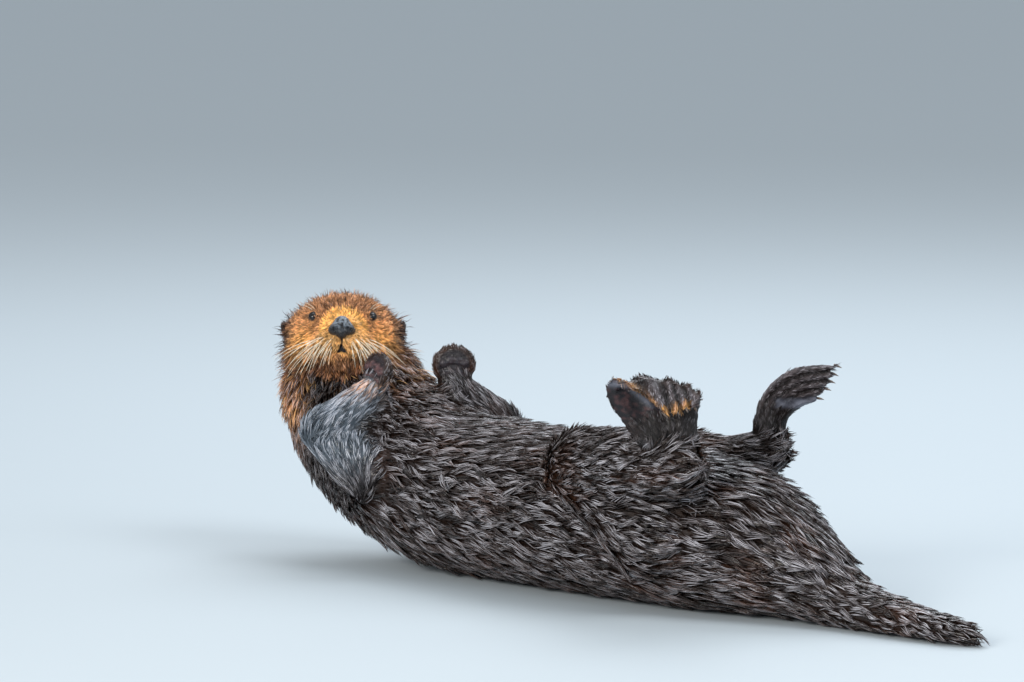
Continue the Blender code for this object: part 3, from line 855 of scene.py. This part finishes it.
def coatColourGroup():  # the coat's markings, darker at the roots as painted shade deep in the coat, with a painted highlight along the wet locks' ridges, and different from lock to lock
    inputs = [(label, "NodeSocketColor", colour) for label, colour in coatColours.items()]
    inputs += [(f"{label} Share", "NodeSocketFloat", 0.0) for label, _ in layers]
    inputs += [("Along", "NodeSocketFloat", 0.3), ("Tone", "NodeSocketFloat", 0.5)]
    inputs += [("Top", "NodeSocketFloat", 0.0), ("Wetness", "NodeSocketFloat", 0.7)]
    outputs = [("Color", "NodeSocketColor"), ("Roughness", "NodeSocketFloat")]
    tree, given, out = group("coatColour", inputs, outputs)
    colour = given["Umber"]
    for label, _ in layers:
        colour = mixed(tree, given[f"{label} Share"], colour, given[label])
    position = positionOf(tree)
    flecks = spread(tree, noise(tree, position, 160, 3.0), 0.35, 0.65, (0.78, 1.18))
    patches = spread(tree, noise(tree, position, 38), 0.3, 0.7, (0.85, 1.12))
    shade = maths(tree, "MULTIPLY", flecks, patches)
    shade = maths(tree, "MULTIPLY", shade, spread(tree, given["Tone"], 0.1, 0.9, (0.30, 1.75)))
    # painted shade deep in the coat: darker towards the roots, lighter at the tips
    shade = maths(tree, "MULTIPLY", shade, spread(tree, given["Along"], 0, 1, (0.45, 1.40)))
    colour = mixed(tree, 1.0, colour, shade, "MULTIPLY")
    # painted highlight: the Sheen colour along each wet lock's ridge, on the lighter locks and away from
    # the roots
    sheenShare = maths(tree, "MULTIPLY", given["Wetness"], spread(tree, given["Tone"], 0.35, 0.80, (0, 0.95)))
    sheenShare = maths(tree, "MULTIPLY", sheenShare, spread(tree, given["Top"], 0.40, 0.90))
    sheenShare = maths(tree, "MULTIPLY", sheenShare, spread(tree, given["Along"], 0.1, 0.5))
    # no painted highlight where Black is laid
    sheenShare = maths(tree, "MULTIPLY", sheenShare, maths(tree, "SUBTRACT", 1.0, given["Black Share"]))
    colour = mixed(tree, sheenShare, colour, given["Sheen"])
    put(tree, out["Color"], colour)
    rough = maths(tree, "SUBTRACT", 0.62, maths(tree, "MULTIPLY", given["Wetness"], 0.36))
    flecked = spread(tree, flecks, 0.78, 1.18, (-0.05, 0.06))
    put(tree, out["Roughness"], maths(tree, "ADD", rough, flecked, clamp=True))
    return tree


def bumpGroup():  # fine skin: creases and small scales
    inputs, outputs = [("Scale", "NodeSocketFloat", 400.0)], [("Height", "NodeSocketFloat")]
    tree, given, out = group("skinRelief", inputs, outputs)
    position = positionOf(tree)
    cells = tree.nodes.new("ShaderNodeTexVoronoi")
    cells.feature = "DISTANCE_TO_EDGE"
    fill(tree, cells, {"Vector": position, "Scale": given["Scale"]})
    folds = noise(tree, position, 120, 4.0)
    edge = spread(tree, cells.outputs["Distance"], 0.0, 0.25)
    put(tree, out["Height"], maths(tree, "ADD", edge, maths(tree, "MULTIPLY", folds, 0.8)))
    return tree


coatColour, skinRelief = coatColourGroup(), bumpGroup()


def material(name):
    made = bpy.data.materials.new(name)
    made.use_nodes = True
    tree = made.node_tree
    return made, tree, tree.nodes["Principled BSDF"]


def useGroup(tree, source):
    node = tree.nodes.new("ShaderNodeGroup")
    node.node_tree = source
    return node


def bump(tree, shader, height, strength, distance):
    node = tree.nodes.new("ShaderNodeBump")
    fill(tree, node, {"Height": height, "Strength": strength, "Distance": distance})
    fill(tree, shader, {"Normal": node.outputs["Normal"]})


def markedCoat(tree, values):  # the coat's colour from the markings, painted shade, highlight and reflection among them
    node = useGroup(tree, coatColour)
    fill(tree, node, {f"{label} Share": attribute(tree, name) for label, name in layers})
    fill(tree, node, values)
    return node.outputs


def furMaterial(name, wetnessAndSheen):
    made, tree, shader = material(name)
    values = {name.title(): attribute(tree, name) for name in ("along", "tone", "top")}
    coloured = markedCoat(tree, {"Wetness": wetnessAndSheen, **values})
    fill(tree, shader, {
        "Base Color": coloured["Color"], "Roughness": coloured["Roughness"], "Specular IOR Level": 0.25,
        "Coat Weight": 0.6 * wetnessAndSheen, "Coat Roughness": 0.14,
    })
    return made


skinColours = {
    "sole": (0.011, 0.009, 0.011, 1),
    "flush": (0.140, 0.062, 0.060, 1),
    # a painted bluish sheen on bare skin
    "pale": (0.190, 0.200, 0.250, 1),
}


def skinMaterial():
    made, tree, shader = material("skin")
    # the skin takes the coat's colours with the painted shade of a lock's root
    coloured = markedCoat(tree, {"Wetness": 0.6, "Along": 0.12})
    mottle = spread(tree, noise(tree, positionOf(tree), 150), 0.25, 0.75)
    flushed = maths(tree, "MULTIPLY", attribute(tree, "flush"), mottle)
    naked = mixed(tree, flushed, skinColours["sole"], skinColours["flush"])
    # painted bluish sheen over the bare skin's colour
    naked = mixed(tree, attribute(tree, "pale"), naked, skinColours["pale"])
    bareness = attribute(tree, "bare")
    smoother = maths(tree, "MULTIPLY", bareness, 0.14)
    fill(tree, shader, {
        "Base Color": mixed(tree, bareness, coloured["Color"], naked),
        "Roughness": maths(tree, "SUBTRACT", coloured["Roughness"], smoother, clamp=True),
        "Specular IOR Level": 0.2, "Coat Weight": 0.2, "Coat Roughness": 0.15,
    })
    bump(tree, shader, useGroup(tree, skinRelief).outputs["Height"], 0.5, 0.6 * mm)
    return made


# each fur's wetness sets its gloss and how much painted highlight its locks get
wetFur, dampFur = furMaterial("wetFur", 1.0), furMaterial("dampFur", 0.2)
footFur, skinFinish = furMaterial("footFur", 0.75), skinMaterial()


skin.name = skin.data.name = "skin"
markAll(skin.data, {**marks, "bare": bare, "flush": flush, "pale": pale})
skin.data.materials.clear()
skin.data.materials.append(skinFinish)
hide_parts(*fleshNodes)
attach(skin, "root")
print("materials of skin and fur")


# the coat: solid locks that taper to a point and are drawn together in clumps

lockSettings = {
    "rings": (0.0, 0.34, 0.68),  # along the lock; its tip is a point
    "widths": (0.72, 1.0, 0.66),
    "ridge": 0.42,  # height of its cross-section, as a share of its width
    "sink": 0.6 * mm,  # of the root in the skin
    "varied": {  # from lock to lock, as shares of what the kind of coat says
        "length": (0.7, 1.25), "width": (0.75, 1.25), "rise": (0.7, 1.3), "clumpRise": (0.75, 1.25),
        "pull": (0.75, 1.05),
    },
    "stray": 11,  # degrees from the lie of the coat, where the coat rises by 20
    "wave": 0.055,  # sideways bends, as a share of the lock's length
    "sweep": 15,  # degrees that whole patches turn by there
    "sweepSize": 0.03,
    "patch": 0.0030,  # side of a lock's place on the map
    "floor": 0.5 * mm,  # lowest that a lock lies
}


def lockTriangles(count):  # three points to a ring, a point at the tip, facing outwards
    tip = 3 * len(lockSettings["rings"])
    sides = ((0, 2), (2, 1), (1, 0))
    faces = [(0, 1, 2)]
    for k in range(0, tip - 3, 3):
        for a, b in sides:
            faces += [(k + a, k + b, k + 3 + b), (k + a, k + 3 + b, k + 3 + a)]
    faces += [(tip - 3 + a, tip - 3 + b, tip) for a, b in sides]
    return (np.array(faces)[None] + (np.arange(count) * (tip + 1))[:, None, None]).reshape(-1, 3)


def roundAxis(own, axis):  # the angle round an axis, as a share of a turn, and how far along it
    axis = np.array(axis) / np.linalg.norm(axis)
    side = unit(np.cross([axis], [[0.3, 0.2, 1.0]]))[0]
    return np.arctan2(own @ np.cross(axis, side), own @ side) / (2 * math.pi) + 0.5, own @ axis


def unwrapRound(points, axis):  # a map of a rounded part: angle round its axis, and from end to end
    turned, along = roundAxis(points - (points.min(0) + points.max(0)) / 2, axis)
    return np.column_stack([turned, (along - along.min()) / np.ptp(along)])


def unwrapBall(points, axis):  # a map of the head: angle round its axis, and from the nose to the back
    turned, along = roundAxis(unit(points - np.array(headOrigin)), axis)
    return np.column_stack([turned, np.arccos(np.clip(along, -1, 1)) / math.pi])


def unwrapFlat(points, normals):  # a map of a flat part: its back beside its front
    own = points - points.mean(0)
    _, _, axes = np.linalg.svd(own[::7], full_matrices=False)
    flat = own @ axes[:2].T
    flat = (flat - flat.min(0)) / np.ptp(flat, axis=0)
    return np.column_stack([flat[:, 0] * 0.48 + 0.51 * (normals @ axes[2] > 0), flat[:, 1]])


def leadersOf(middles, clump):  # for each lock, the nearest of those that lead a clump
    leaders = np.arange(0, len(middles), clump)
    tree = KDTree(len(leaders))
    for number, leader in enumerate(leaders):
        tree.insert(middles[leader], number)
    tree.balance()
    return np.array([leaders[tree.find(p)[1]] for p in middles])


def growCoat(name, member, finish, unwrap, seed, clump, guard=None):
    random = np.random.default_rng(seed)
    faces = triangles[member[triangles].all(1)]
    a, b, c = (points[faces[:, k]] for k in range(3))
    area = lengths(np.cross(b - a, c - a)) / 2 * 1e4  # square centimetres
    wanted = area * styles[faces, 3].mean(1) * (1 - smoothStep(bare[faces].mean(1), 0.25, 0.75))
    wanted *= guard["share"] if guard else 1
    count = int(wanted.sum())
    at = faces[random.choice(len(faces), count, p=wanted / wanted.sum())]
    weights = random.dirichlet((1, 1, 1), count)

    def here(values):  # at the locks' roots
        return (values[at] * (weights[:, :, None] if values.ndim == 2 else weights)).sum(1)

    def varied(what):
        return random.uniform(*lockSettings["varied"][what], count)

    root, out, lie, style = here(points), unit(here(normals)), here(way), here(styles)
    if guard:
        style = style * np.array([guard["length"], guard["width"], guard["rise"], 1, guard["pull"], 1])
    lie = unit(lie - out * (lie * out).sum(1, keepdims=True))
    length = style[:, 0] * mm * varied("length")
    width = style[:, 1] * mm * varied("width")
    nearest = leadersOf(root + lie * (0.4 * length)[:, None], clump)
    spin = random.normal(0, 1, count)
    phase = random.uniform(0, 6.28, count)[nearest]
    tone = random.uniform(0, 1, count)
    spin, tone = 0.45 * spin + 0.9 * spin[nearest], 0.4 * tone + 0.6 * tone[nearest]
    swept = lockSettings["sweep"] * drift(root, lockSettings["sweepSize"], seed)
    turn = np.radians(lockSettings["stray"] * spin + swept) * style[:, 2] / 20
    across = np.cross(lie, out)
    lie = lie * np.cos(turn)[:, None] + across * np.sin(turn)[:, None]
    across = np.cross(lie, out)
    rise = np.radians(style[:, 2] * varied("rise") * varied("clumpRise")[nearest])
    tip = root + lie * (length * np.cos(rise))[:, None] + out * (length * np.sin(rise))[:, None]
    pull = style[:, 4] * varied("pull")
    gather = tip[nearest] - tip
    gather -= 0.6 * lie * (gather * lie).sum(1, keepdims=True)  # mostly sideways
    gather *= np.minimum(1, 0.6 * length / np.maximum(lengths(gather), 1e-9))[:, None]
    rings = []
    for t, wide in zip((*lockSettings["rings"], 1.0), (*lockSettings["widths"], 0.0)):
        curve = t * (1.5 - 0.5 * t)
        bend = np.sin(4.4 * t + phase) - np.sin(phase)
        middle = root - out * lockSettings["sink"] + lie * (length * np.cos(rise) * t)[:, None]
        middle += out * (length * np.sin(rise) * curve)[:, None] + gather * (pull * t ** 1.4)[:, None]
        middle += across * (length * lockSettings["wave"] * bend)[:, None]
        if wide:
            half = across * (width * wide / 2)[:, None]
            ridge = out * (width * wide * lockSettings["ridge"])[:, None]
            rings += [middle - half, middle + half, middle + ridge]
        else:
            rings.append(middle)
    shape = np.stack(rings, 1)
    size = shape.shape[1]
    low = lockSettings["floor"] * (1 + random.uniform(0, 2, count))[:, None]
    shape[:, :, 2] = np.maximum(shape[:, :, 2], low)
    faces = lockTriangles(count)
    coatPiece = addMesh(name, shape.reshape(-1, 3), faces)
    mesh = coatPiece.data
    levels = len(lockSettings["rings"])
    steps = np.array([t for t in lockSettings["rings"] for _ in range(3)] + [1.0])
    colours = {label: here(value) for label, value in marks.items()}
    if guard:
        colours[guard["tint"]] = np.maximum(colours[guard["tint"]], random.uniform(0.1, 0.9, count))
    markAll(mesh, {label: np.repeat(value, size) for label, value in colours.items()})
    # top is 1 along each lock's ridge, where the painted highlight lies
    markAll(mesh, {
        "along": np.tile(steps, count), "tone": np.repeat(tone, size),
        "top": np.tile([0, 0, 1] * levels + [0.6], count),
    })
    place = unwrap(root, out) * (1 - 2 * lockSettings["patch"]) + lockSettings["patch"]
    patch = np.column_stack([[-0.5, 0.5, 0] * levels + [0], steps - 0.5])
    corner = (place[:, None] + patch * lockSettings["patch"]).reshape(-1, 2)[faces.ravel()]
    mesh.uv_layers.new(name="OFBake").data.foreach_set("uv", corner.astype(np.float32).ravel())
    mesh.materials.append(finish)
    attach(coatPiece, "root")
    print(name, count, "locks", len(faces), "triangles")


headLocal = toHead(points)
headPoints = onNodes(owner, "head", "ear_right", "ear_left")
faceFront = headPoints & (headLocal[:, 1] > 22)
neckPoints = onNodes(owner, "neck")
rightHalf = headLocal[:, 0] > 0


def touching(member):  # a point's neighbours too, so that neighbouring pieces of coat meet
    wider = member.copy()
    for k in range(3):
        wider[triangles[member[triangles].any(1)][:, k]] = True
    return wider


def ballMap(root, out):
    return unwrapBall(root, headAhead)


def roundMap(axis):
    return lambda root, out: unwrapRound(root, axis)


def limbs(*kinds):  # the points of those limbs, right and left
    return onNodes(owner, *(f"{kind}_{side}" for kind in kinds for side in bothSides))


bodyMap, neckMap = roundMap((1, 0, 0)), roundMap(middleOf("chest") - headOrigin)
pieces = [
    ("furFaceRight", faceFront & rightHalf, dampFur, ballMap, 4, "face_fur"),
    ("furFaceLeft", faceFront & ~rightHalf, dampFur, ballMap, 4, "face_fur"),
    ("furCrown", headPoints & ~faceFront, dampFur, ballMap, 5, "face_fur"),
    ("furNeckRight", neckPoints & rightHalf, wetFur, neckMap, 6, "body_fur"),
    ("furNeckLeft", neckPoints & ~rightHalf, wetFur, neckMap, 6, "body_fur"),
    ("furChest", onNodes(owner, "chest"), wetFur, bodyMap, 6, "body_fur"),
    ("furBelly", onNodes(owner, "belly"), wetFur, bodyMap, 6, "body_fur"),
    ("furRump", onNodes(owner, "rump", "tail"), wetFur, bodyMap, 6, "body_fur"),
    ("furArms", limbs("upper_arm", "forearm", "forepaw"), wetFur, unwrapFlat, 5, "body_fur"),
    ("furLegs", limbs("thigh", "shank"), wetFur, unwrapFlat, 6, "body_fur"),
    ("furFeet", limbs("hind_foot"), footFur, unwrapFlat, 5, "foot_skin"),
]
for seed, (name, member, finish, unwrap, clump, slot) in enumerate(pieces, 21):
    growCoat(name, touching(member), finish, unwrap, seed, clump)
darkHair = {"share": 0.17, "length": 1.40, "width": 0.75, "rise": 1.5, "pull": 0.3, "tint": "black"}
paleHair = {"share": 0.08, "length": 1.2, "width": 0.60, "rise": 1.35, "pull": 0.3, "tint": "cream"}
offGold, nearHead = headPoints & (marks["gold"] < 0.4), neckPoints & (lengths(headLocal) < 112)
growCoat("furGuardHair", touching(offGold), dampFur, ballMap, 40, 3, darkHair)
growCoat("furPaleHair", touching(nearHead), dampFur, neckMap, 41, 3, paleHair)


# whiskers

whiskerSettings = {
    "rows": 5,
    "perRow": 6,
    "length": (32, 58),  # nearest the nose and furthest from it, in mm
    "thick": (0.44, 0.12),  # radius at the root and at the tip
    "brows": 2,  # above each eye
    "browLength": 24,
    "browThick": (0.30, 0.08),
    "colours": ((0.80, 0.66, 0.46, 1), (0.95, 0.90, 0.76, 1)),
}


def whiskerMaterial():
    made, tree, shader = material("whisker")
    shade = mixed(tree, noise(tree, positionOf(tree), 90), *whiskerSettings["colours"])
    fill(tree, shader, {"Base Color": shade, "Roughness": 0.35})
    return made


def makeWhiskers():
    random = np.random.default_rng(5)
    local = toHead(points)
    x, up = facePlane(local)
    shape = bmesh.new()
    for sign in (1, -1):
        for row in range(whiskerSettings["rows"]):
            for k in range(whiskerSettings["perRow"]):
                share, fall = k / (whiskerSettings["perRow"] - 1), row / (whiskerSettings["rows"] - 1)
                wantX = sign * (14 + 27 * share + random.normal(0, 1.5))
                wantUp = 1 - 15 * fall - 2 * share + random.normal(0, 1)
                near = np.hypot(x - wantX, up - wantUp) + 0.2 * np.maximum(0, 60 - local[:, 1])
                root = local[near.argmin()]
                length = np.interp(share, (0, 1), whiskerSettings["length"]) * random.uniform(0.75, 1.1)
                if fall > 0.7:
                    length *= 0.8
                steep = math.radians(24 + 26 * fall + 26 * (1 - share) + random.normal(0, 5))
                aim = np.array([sign * math.cos(steep), 0.42, -math.sin(steep)])
                sag = np.array([-sign * 0.12, -0.40, -0.22])
                steps = np.linspace(0, 1, 9)[:, None]
                line = root + aim * length * steps + sag * length * steps ** 2 * 0.62
                tube(shape, fromHead(line), *whiskerSettings["thick"])
        for k in range(whiskerSettings["brows"]):
            root = eyes["right" if sign > 0 else "left"] + np.array([sign * (2 - 3 * k), 4, 10.0 + k])
            aim = np.array([sign * (0.75 - 0.2 * k), 0.35, 0.55 + 0.12 * k])
            steps = np.linspace(0, 1, 7)[:, None]
            length = whiskerSettings["browLength"]
            line = root + aim * length * steps + np.array([0, -0.3, -0.35]) * length * steps ** 2
            tube(shape, fromHead(line), *whiskerSettings["browThick"])
    whiskers = pieceFrom(shape, "whiskers")
    whiskers.data.materials.append(whiskerMaterial())
    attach(whiskers, "root")
    print("whiskers", len(whiskers.data.polygons), "faces")


def tube(shape, line, thickRoot, thickTip, sides=5):  # a tapering hair along a line of points
    rows = []
    for k, point in enumerate(line):
        ahead = line[min(k + 1, len(line) - 1)] - line[max(k - 1, 0)]
        side = np.cross(ahead, (0.21, 0.13, 1.0))
        side /= np.linalg.norm(side)
        other = np.cross(ahead, side)
        other /= np.linalg.norm(other)
        radius = np.interp(k / (len(line) - 1), (0, 1), (thickRoot, thickTip)) * mm
        turns = [2 * math.pi * i / sides for i in range(sides)]
        around = [side * math.cos(turn) + other * math.sin(turn) for turn in turns]
        rows.append([shape.verts.new(point + radius * offset) for offset in around])
    for low, high in zip(rows, rows[1:]):
        for i in range(sides):
            j = (i + 1) % sides
            shape.faces.new((low[i], high[i], high[j], low[j]))
    shape.faces.new(rows[0])
    shape.faces.new(rows[-1][::-1])


makeWhiskers()


# eyes, nose and claws

def eyeMaterial(side):
    made, tree, shader = material("eye_" + side)
    out = np.array(eyeFrame(side)[2] @ headAxes)
    position = positionOf(tree)
    offset = tree.nodes.new("ShaderNodeVectorMath")
    offset.operation = "SUBTRACT"
    put(tree, offset.inputs[0], position)
    put(tree, offset.inputs[1], middleOf("eye_" + side))
    turned = tree.nodes.new("ShaderNodeVectorMath")
    turned.operation = "DOT_PRODUCT"
    put(tree, turned.inputs[0], offset.outputs[0])
    put(tree, turned.inputs[1], out / mm / eyeSettings["ball"])
    pupil = spread(tree, turned.outputs["Value"], *eyeSettings["pupil"])
    streaks = mixed(tree, noise(tree, position, 900), *eyeSettings["iris"])
    colour = mixed(tree, pupil, streaks, eyeSettings["black"])
    fill(tree, shader, {"Base Color": colour, "Roughness": 0.04, "IOR": 1.5})
    return made


def makeEye(side):
    radius = eyeSettings["ball"] * mm
    shape = bmesh.new()
    bmesh.ops.create_uvsphere(shape, u_segments=48, v_segments=32, radius=radius)
    axes = Matrix((eyeFrame(side) @ headAxes).tolist())
    for vertex in shape.verts:  # the cornea stands out a little
        bulge = eyeSettings["cornea"] * mm * math.exp(-((1 - vertex.co.z / radius) / 0.12) ** 2)
        vertex.co = Vector(vertex.co @ axes) * (1 + bulge / radius)
    bmesh.ops.translate(shape, verts=shape.verts, vec=middleOf("eye_" + side))
    bmesh.ops.recalc_face_normals(shape, faces=shape.faces)
    eye = pieceFrom(shape, "eyeball_" + side)
    eye.data.materials.append(eyeMaterial(side))
    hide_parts("eye_" + side)
    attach(eye, "root")


noseSettings = {
    "voxel": 0.7 * mm,
    "taller": 1.10,
    "nostrils": (0.88, 0.20),  # breadth at the top, and how much wider it is at the nostrils
    "grow": 0.25 * mm,
    "grain": 0.14 * mm,
    "dark": (0.006, 0.006, 0.008, 1),
    # the upper part's paler bluish grey is a painted highlight
    "pale": (0.200, 0.235, 0.275, 1),
}


def noseMaterial():
    made, tree, shader = material("noseSkin")
    position = positionOf(tree)
    blotches = spread(tree, noise(tree, position, 240, 3.0), 0.38, 0.62)
    # painted highlight, blotched, on the nose's upper part
    pale = maths(tree, "MULTIPLY", blotches, attribute(tree, "upper"))
    fill(tree, shader, {
        "Base Color": mixed(tree, pale, noseSettings["dark"], noseSettings["pale"]),
        "Roughness": spread(tree, noise(tree, position, 700), 0.3, 0.7, (0.20, 0.45)),
        "Coat Weight": 0.25,
    })
    relief = useGroup(tree, skinRelief)
    fill(tree, relief, {"Scale": 750})
    bump(tree, shader, relief.outputs["Height"], 0.8, 0.8 * mm)
    return made


def makeNose():
    shape = bmesh.new()
    shape.from_mesh(nodes["nose"].data)
    bmesh.ops.remove_doubles(shape, verts=shape.verts, dist=0.01 * mm)
    nose = pieceFrom(shape, "nosePad")
    mesh = remeshed(nose, noseSettings["voxel"])
    own, faces = meshArrays(mesh)
    local = toHead(relax(own, edgesOf(mesh), 6))
    low = smoothStep(noseAt[2] - local[:, 2], -9, 7)
    narrow, wider = noseSettings["nostrils"]
    local[:, 0] = noseAt[0] + (local[:, 0] - noseAt[0]) * (narrow + wider * low)
    top = local[:, 2].max()
    local[:, 2] = top - (top - local[:, 2]) * noseSettings["taller"]
    own = fromHead(local)
    grown = noseSettings["grow"] + noseSettings["grain"] * drift(own, 0.0022, 8)
    own += normalsOf(own, faces) * grown[:, None]
    setPoints(mesh, own)
    mesh.shade_smooth()
    # upper: where the painted highlight lies, on the top of the nose
    upper = local[:, 2] - noseAt[2] - 0.45 * np.abs(local[:, 0] - noseAt[0])
    markAll(mesh, {"upper": smoothStep(upper, -13, -1)})
    mesh.materials.clear()
    mesh.materials.append(noseMaterial())
    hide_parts("nose")
    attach(nose, "root")


clawSettings = {
    "thick": 0.9,  # as a share of the solid claw's radius
    "tip": 0.25,
    "sides": 10,
    "sunk": -2.8,  # where it starts inside the toe, in half lengths from its middle
    "droop": 0.16,
    "colours": ((0.030, 0.022, 0.019, 1), (0.16, 0.11, 0.08, 1)),
}


def clawMaterial():
    made, tree, shader = material("clawHorn")
    colour = mixed(tree, noise(tree, positionOf(tree), 300, 3.0), *clawSettings["colours"])
    fill(tree, shader, {"Base Color": colour, "Roughness": 0.32})
    return made


def makeClaw(node, finish):
    own, _ = meshArrays(nodes[node].data)
    centre = own.mean(0)
    _, _, axes = np.linalg.svd(own - centre, full_matrices=False)
    along = (own - centre) @ axes[0]
    ring = lengths((own - centre) - np.outer(along, axes[0]))
    if ring[along > 0].mean() > ring[along < 0].mean():  # points to the thin end
        axes[0], along = -axes[0], -along
    half = np.ptp(along) / 2
    steps = np.linspace(-1, 1, 9)
    droop = np.array([0, 0, -1.0]) * half * clawSettings["droop"]
    steps = (clawSettings["sunk"], *steps)
    line = [centre + axes[0] * half * s + droop * ((s + 1) / 2) ** 2 * 0.5 for s in steps]
    shape = bmesh.new()
    thick = 1000 * ring.max() * clawSettings["thick"]
    tube(shape, np.array(line), thick, clawSettings["tip"], clawSettings["sides"])
    bmesh.ops.recalc_face_normals(shape, faces=shape.faces)
    claw = pieceFrom(shape, node.replace("claw_", "horn_"))
    claw.data.materials.append(finish)
    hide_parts(node)
    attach(claw, "root")


for side in bothSides:
    makeEye(side)
makeNose()
horn = clawMaterial()
for name in sorted(n for n in nodes if n.startswith("claw_")):
    makeClaw(name, horn)
print("eyes, nose and claws")


# floor, light and camera

studio = {
    "floor": (0.455, 0.505, 0.535),
    "reach": 30,  # of the floor, in metres
    "world": (0.86, 0.93, 1.0),
    "worldStrength": 0.70,
    "lights": [  # place across, in front and up, in metres; size; watts; colour
        ((-2.8, 4.3, 2.3), 1.8, 220, (1.0, 0.97, 0.92)),
        ((2.2, 1.4, 3.2), 2.2, 75, (0.92, 0.96, 1.0)),
        ((0.4, -2.6, 3.0), 2.6, 85, (0.88, 0.94, 1.0)),
    ],
    "distance": 11.6,
    "elevation": 7,
    "framing": (0.2298, 0.0054),  # what the camera looks at, across and up from the head
    "lens": 299.9,
}


def makeStudio():
    scene = bpy.context.scene
    far = studio["reach"]
    corners = [(-far, -far, 0), (far, -far, 0), (far, far, 0), (-far, far, 0)]
    floor = addMesh("floor", corners, [(0, 1, 2), (0, 2, 3)])
    made, tree, shader = material("paleFloor")
    fill(tree, shader, {"Base Color": (*studio["floor"], 1), "Roughness": 0.7})
    floor.data.materials.append(made)
    world = bpy.data.worlds.new("studioWorld")
    world.use_nodes = True
    tree, sky = world.node_tree, world.node_tree.nodes["Background"]
    fill(tree, sky, {"Color": (*studio["world"], 1), "Strength": studio["worldStrength"]})
    scene.world = world
    for number, ((across, near, high), size, watts, colour) in enumerate(studio["lights"]):
        light = bpy.data.lights.new(f"softbox{number}", "AREA")
        light.energy, light.size, light.color = watts, size, colour
        lamp = bpy.data.objects.new(light.name, light)
        lamp.location = acrossFace * across + faceLevel * near + Vector((0, 0, high))
        lamp.rotation_euler = (lamp.location - Vector((0, 0, 0.15))).to_track_quat("Z", "Y").to_euler()
        scene.collection.objects.link(lamp)
    lift = math.radians(studio["elevation"])
    toCamera = faceLevel * math.cos(lift) + Vector((0, 0, math.sin(lift)))
    cameraUp = Vector((0, 0, math.cos(lift))) - faceLevel * math.sin(lift)
    across, high = studio["framing"]
    camera = bpy.data.objects.new("camera", bpy.data.cameras.new("camera"))
    camera.data.lens, camera.data.sensor_width = studio["lens"], 36
    camera.data.clip_end = 100
    camera.location = headOrigin + acrossFace * across + cameraUp * high + toCamera * studio["distance"]
    camera.rotation_euler = toCamera.to_track_quat("Z", "Y").to_euler()
    scene.collection.objects.link(camera)
    scene.camera = camera
    scene.view_settings.view_transform = "Standard"


makeStudio()
print("floor, light and camera")
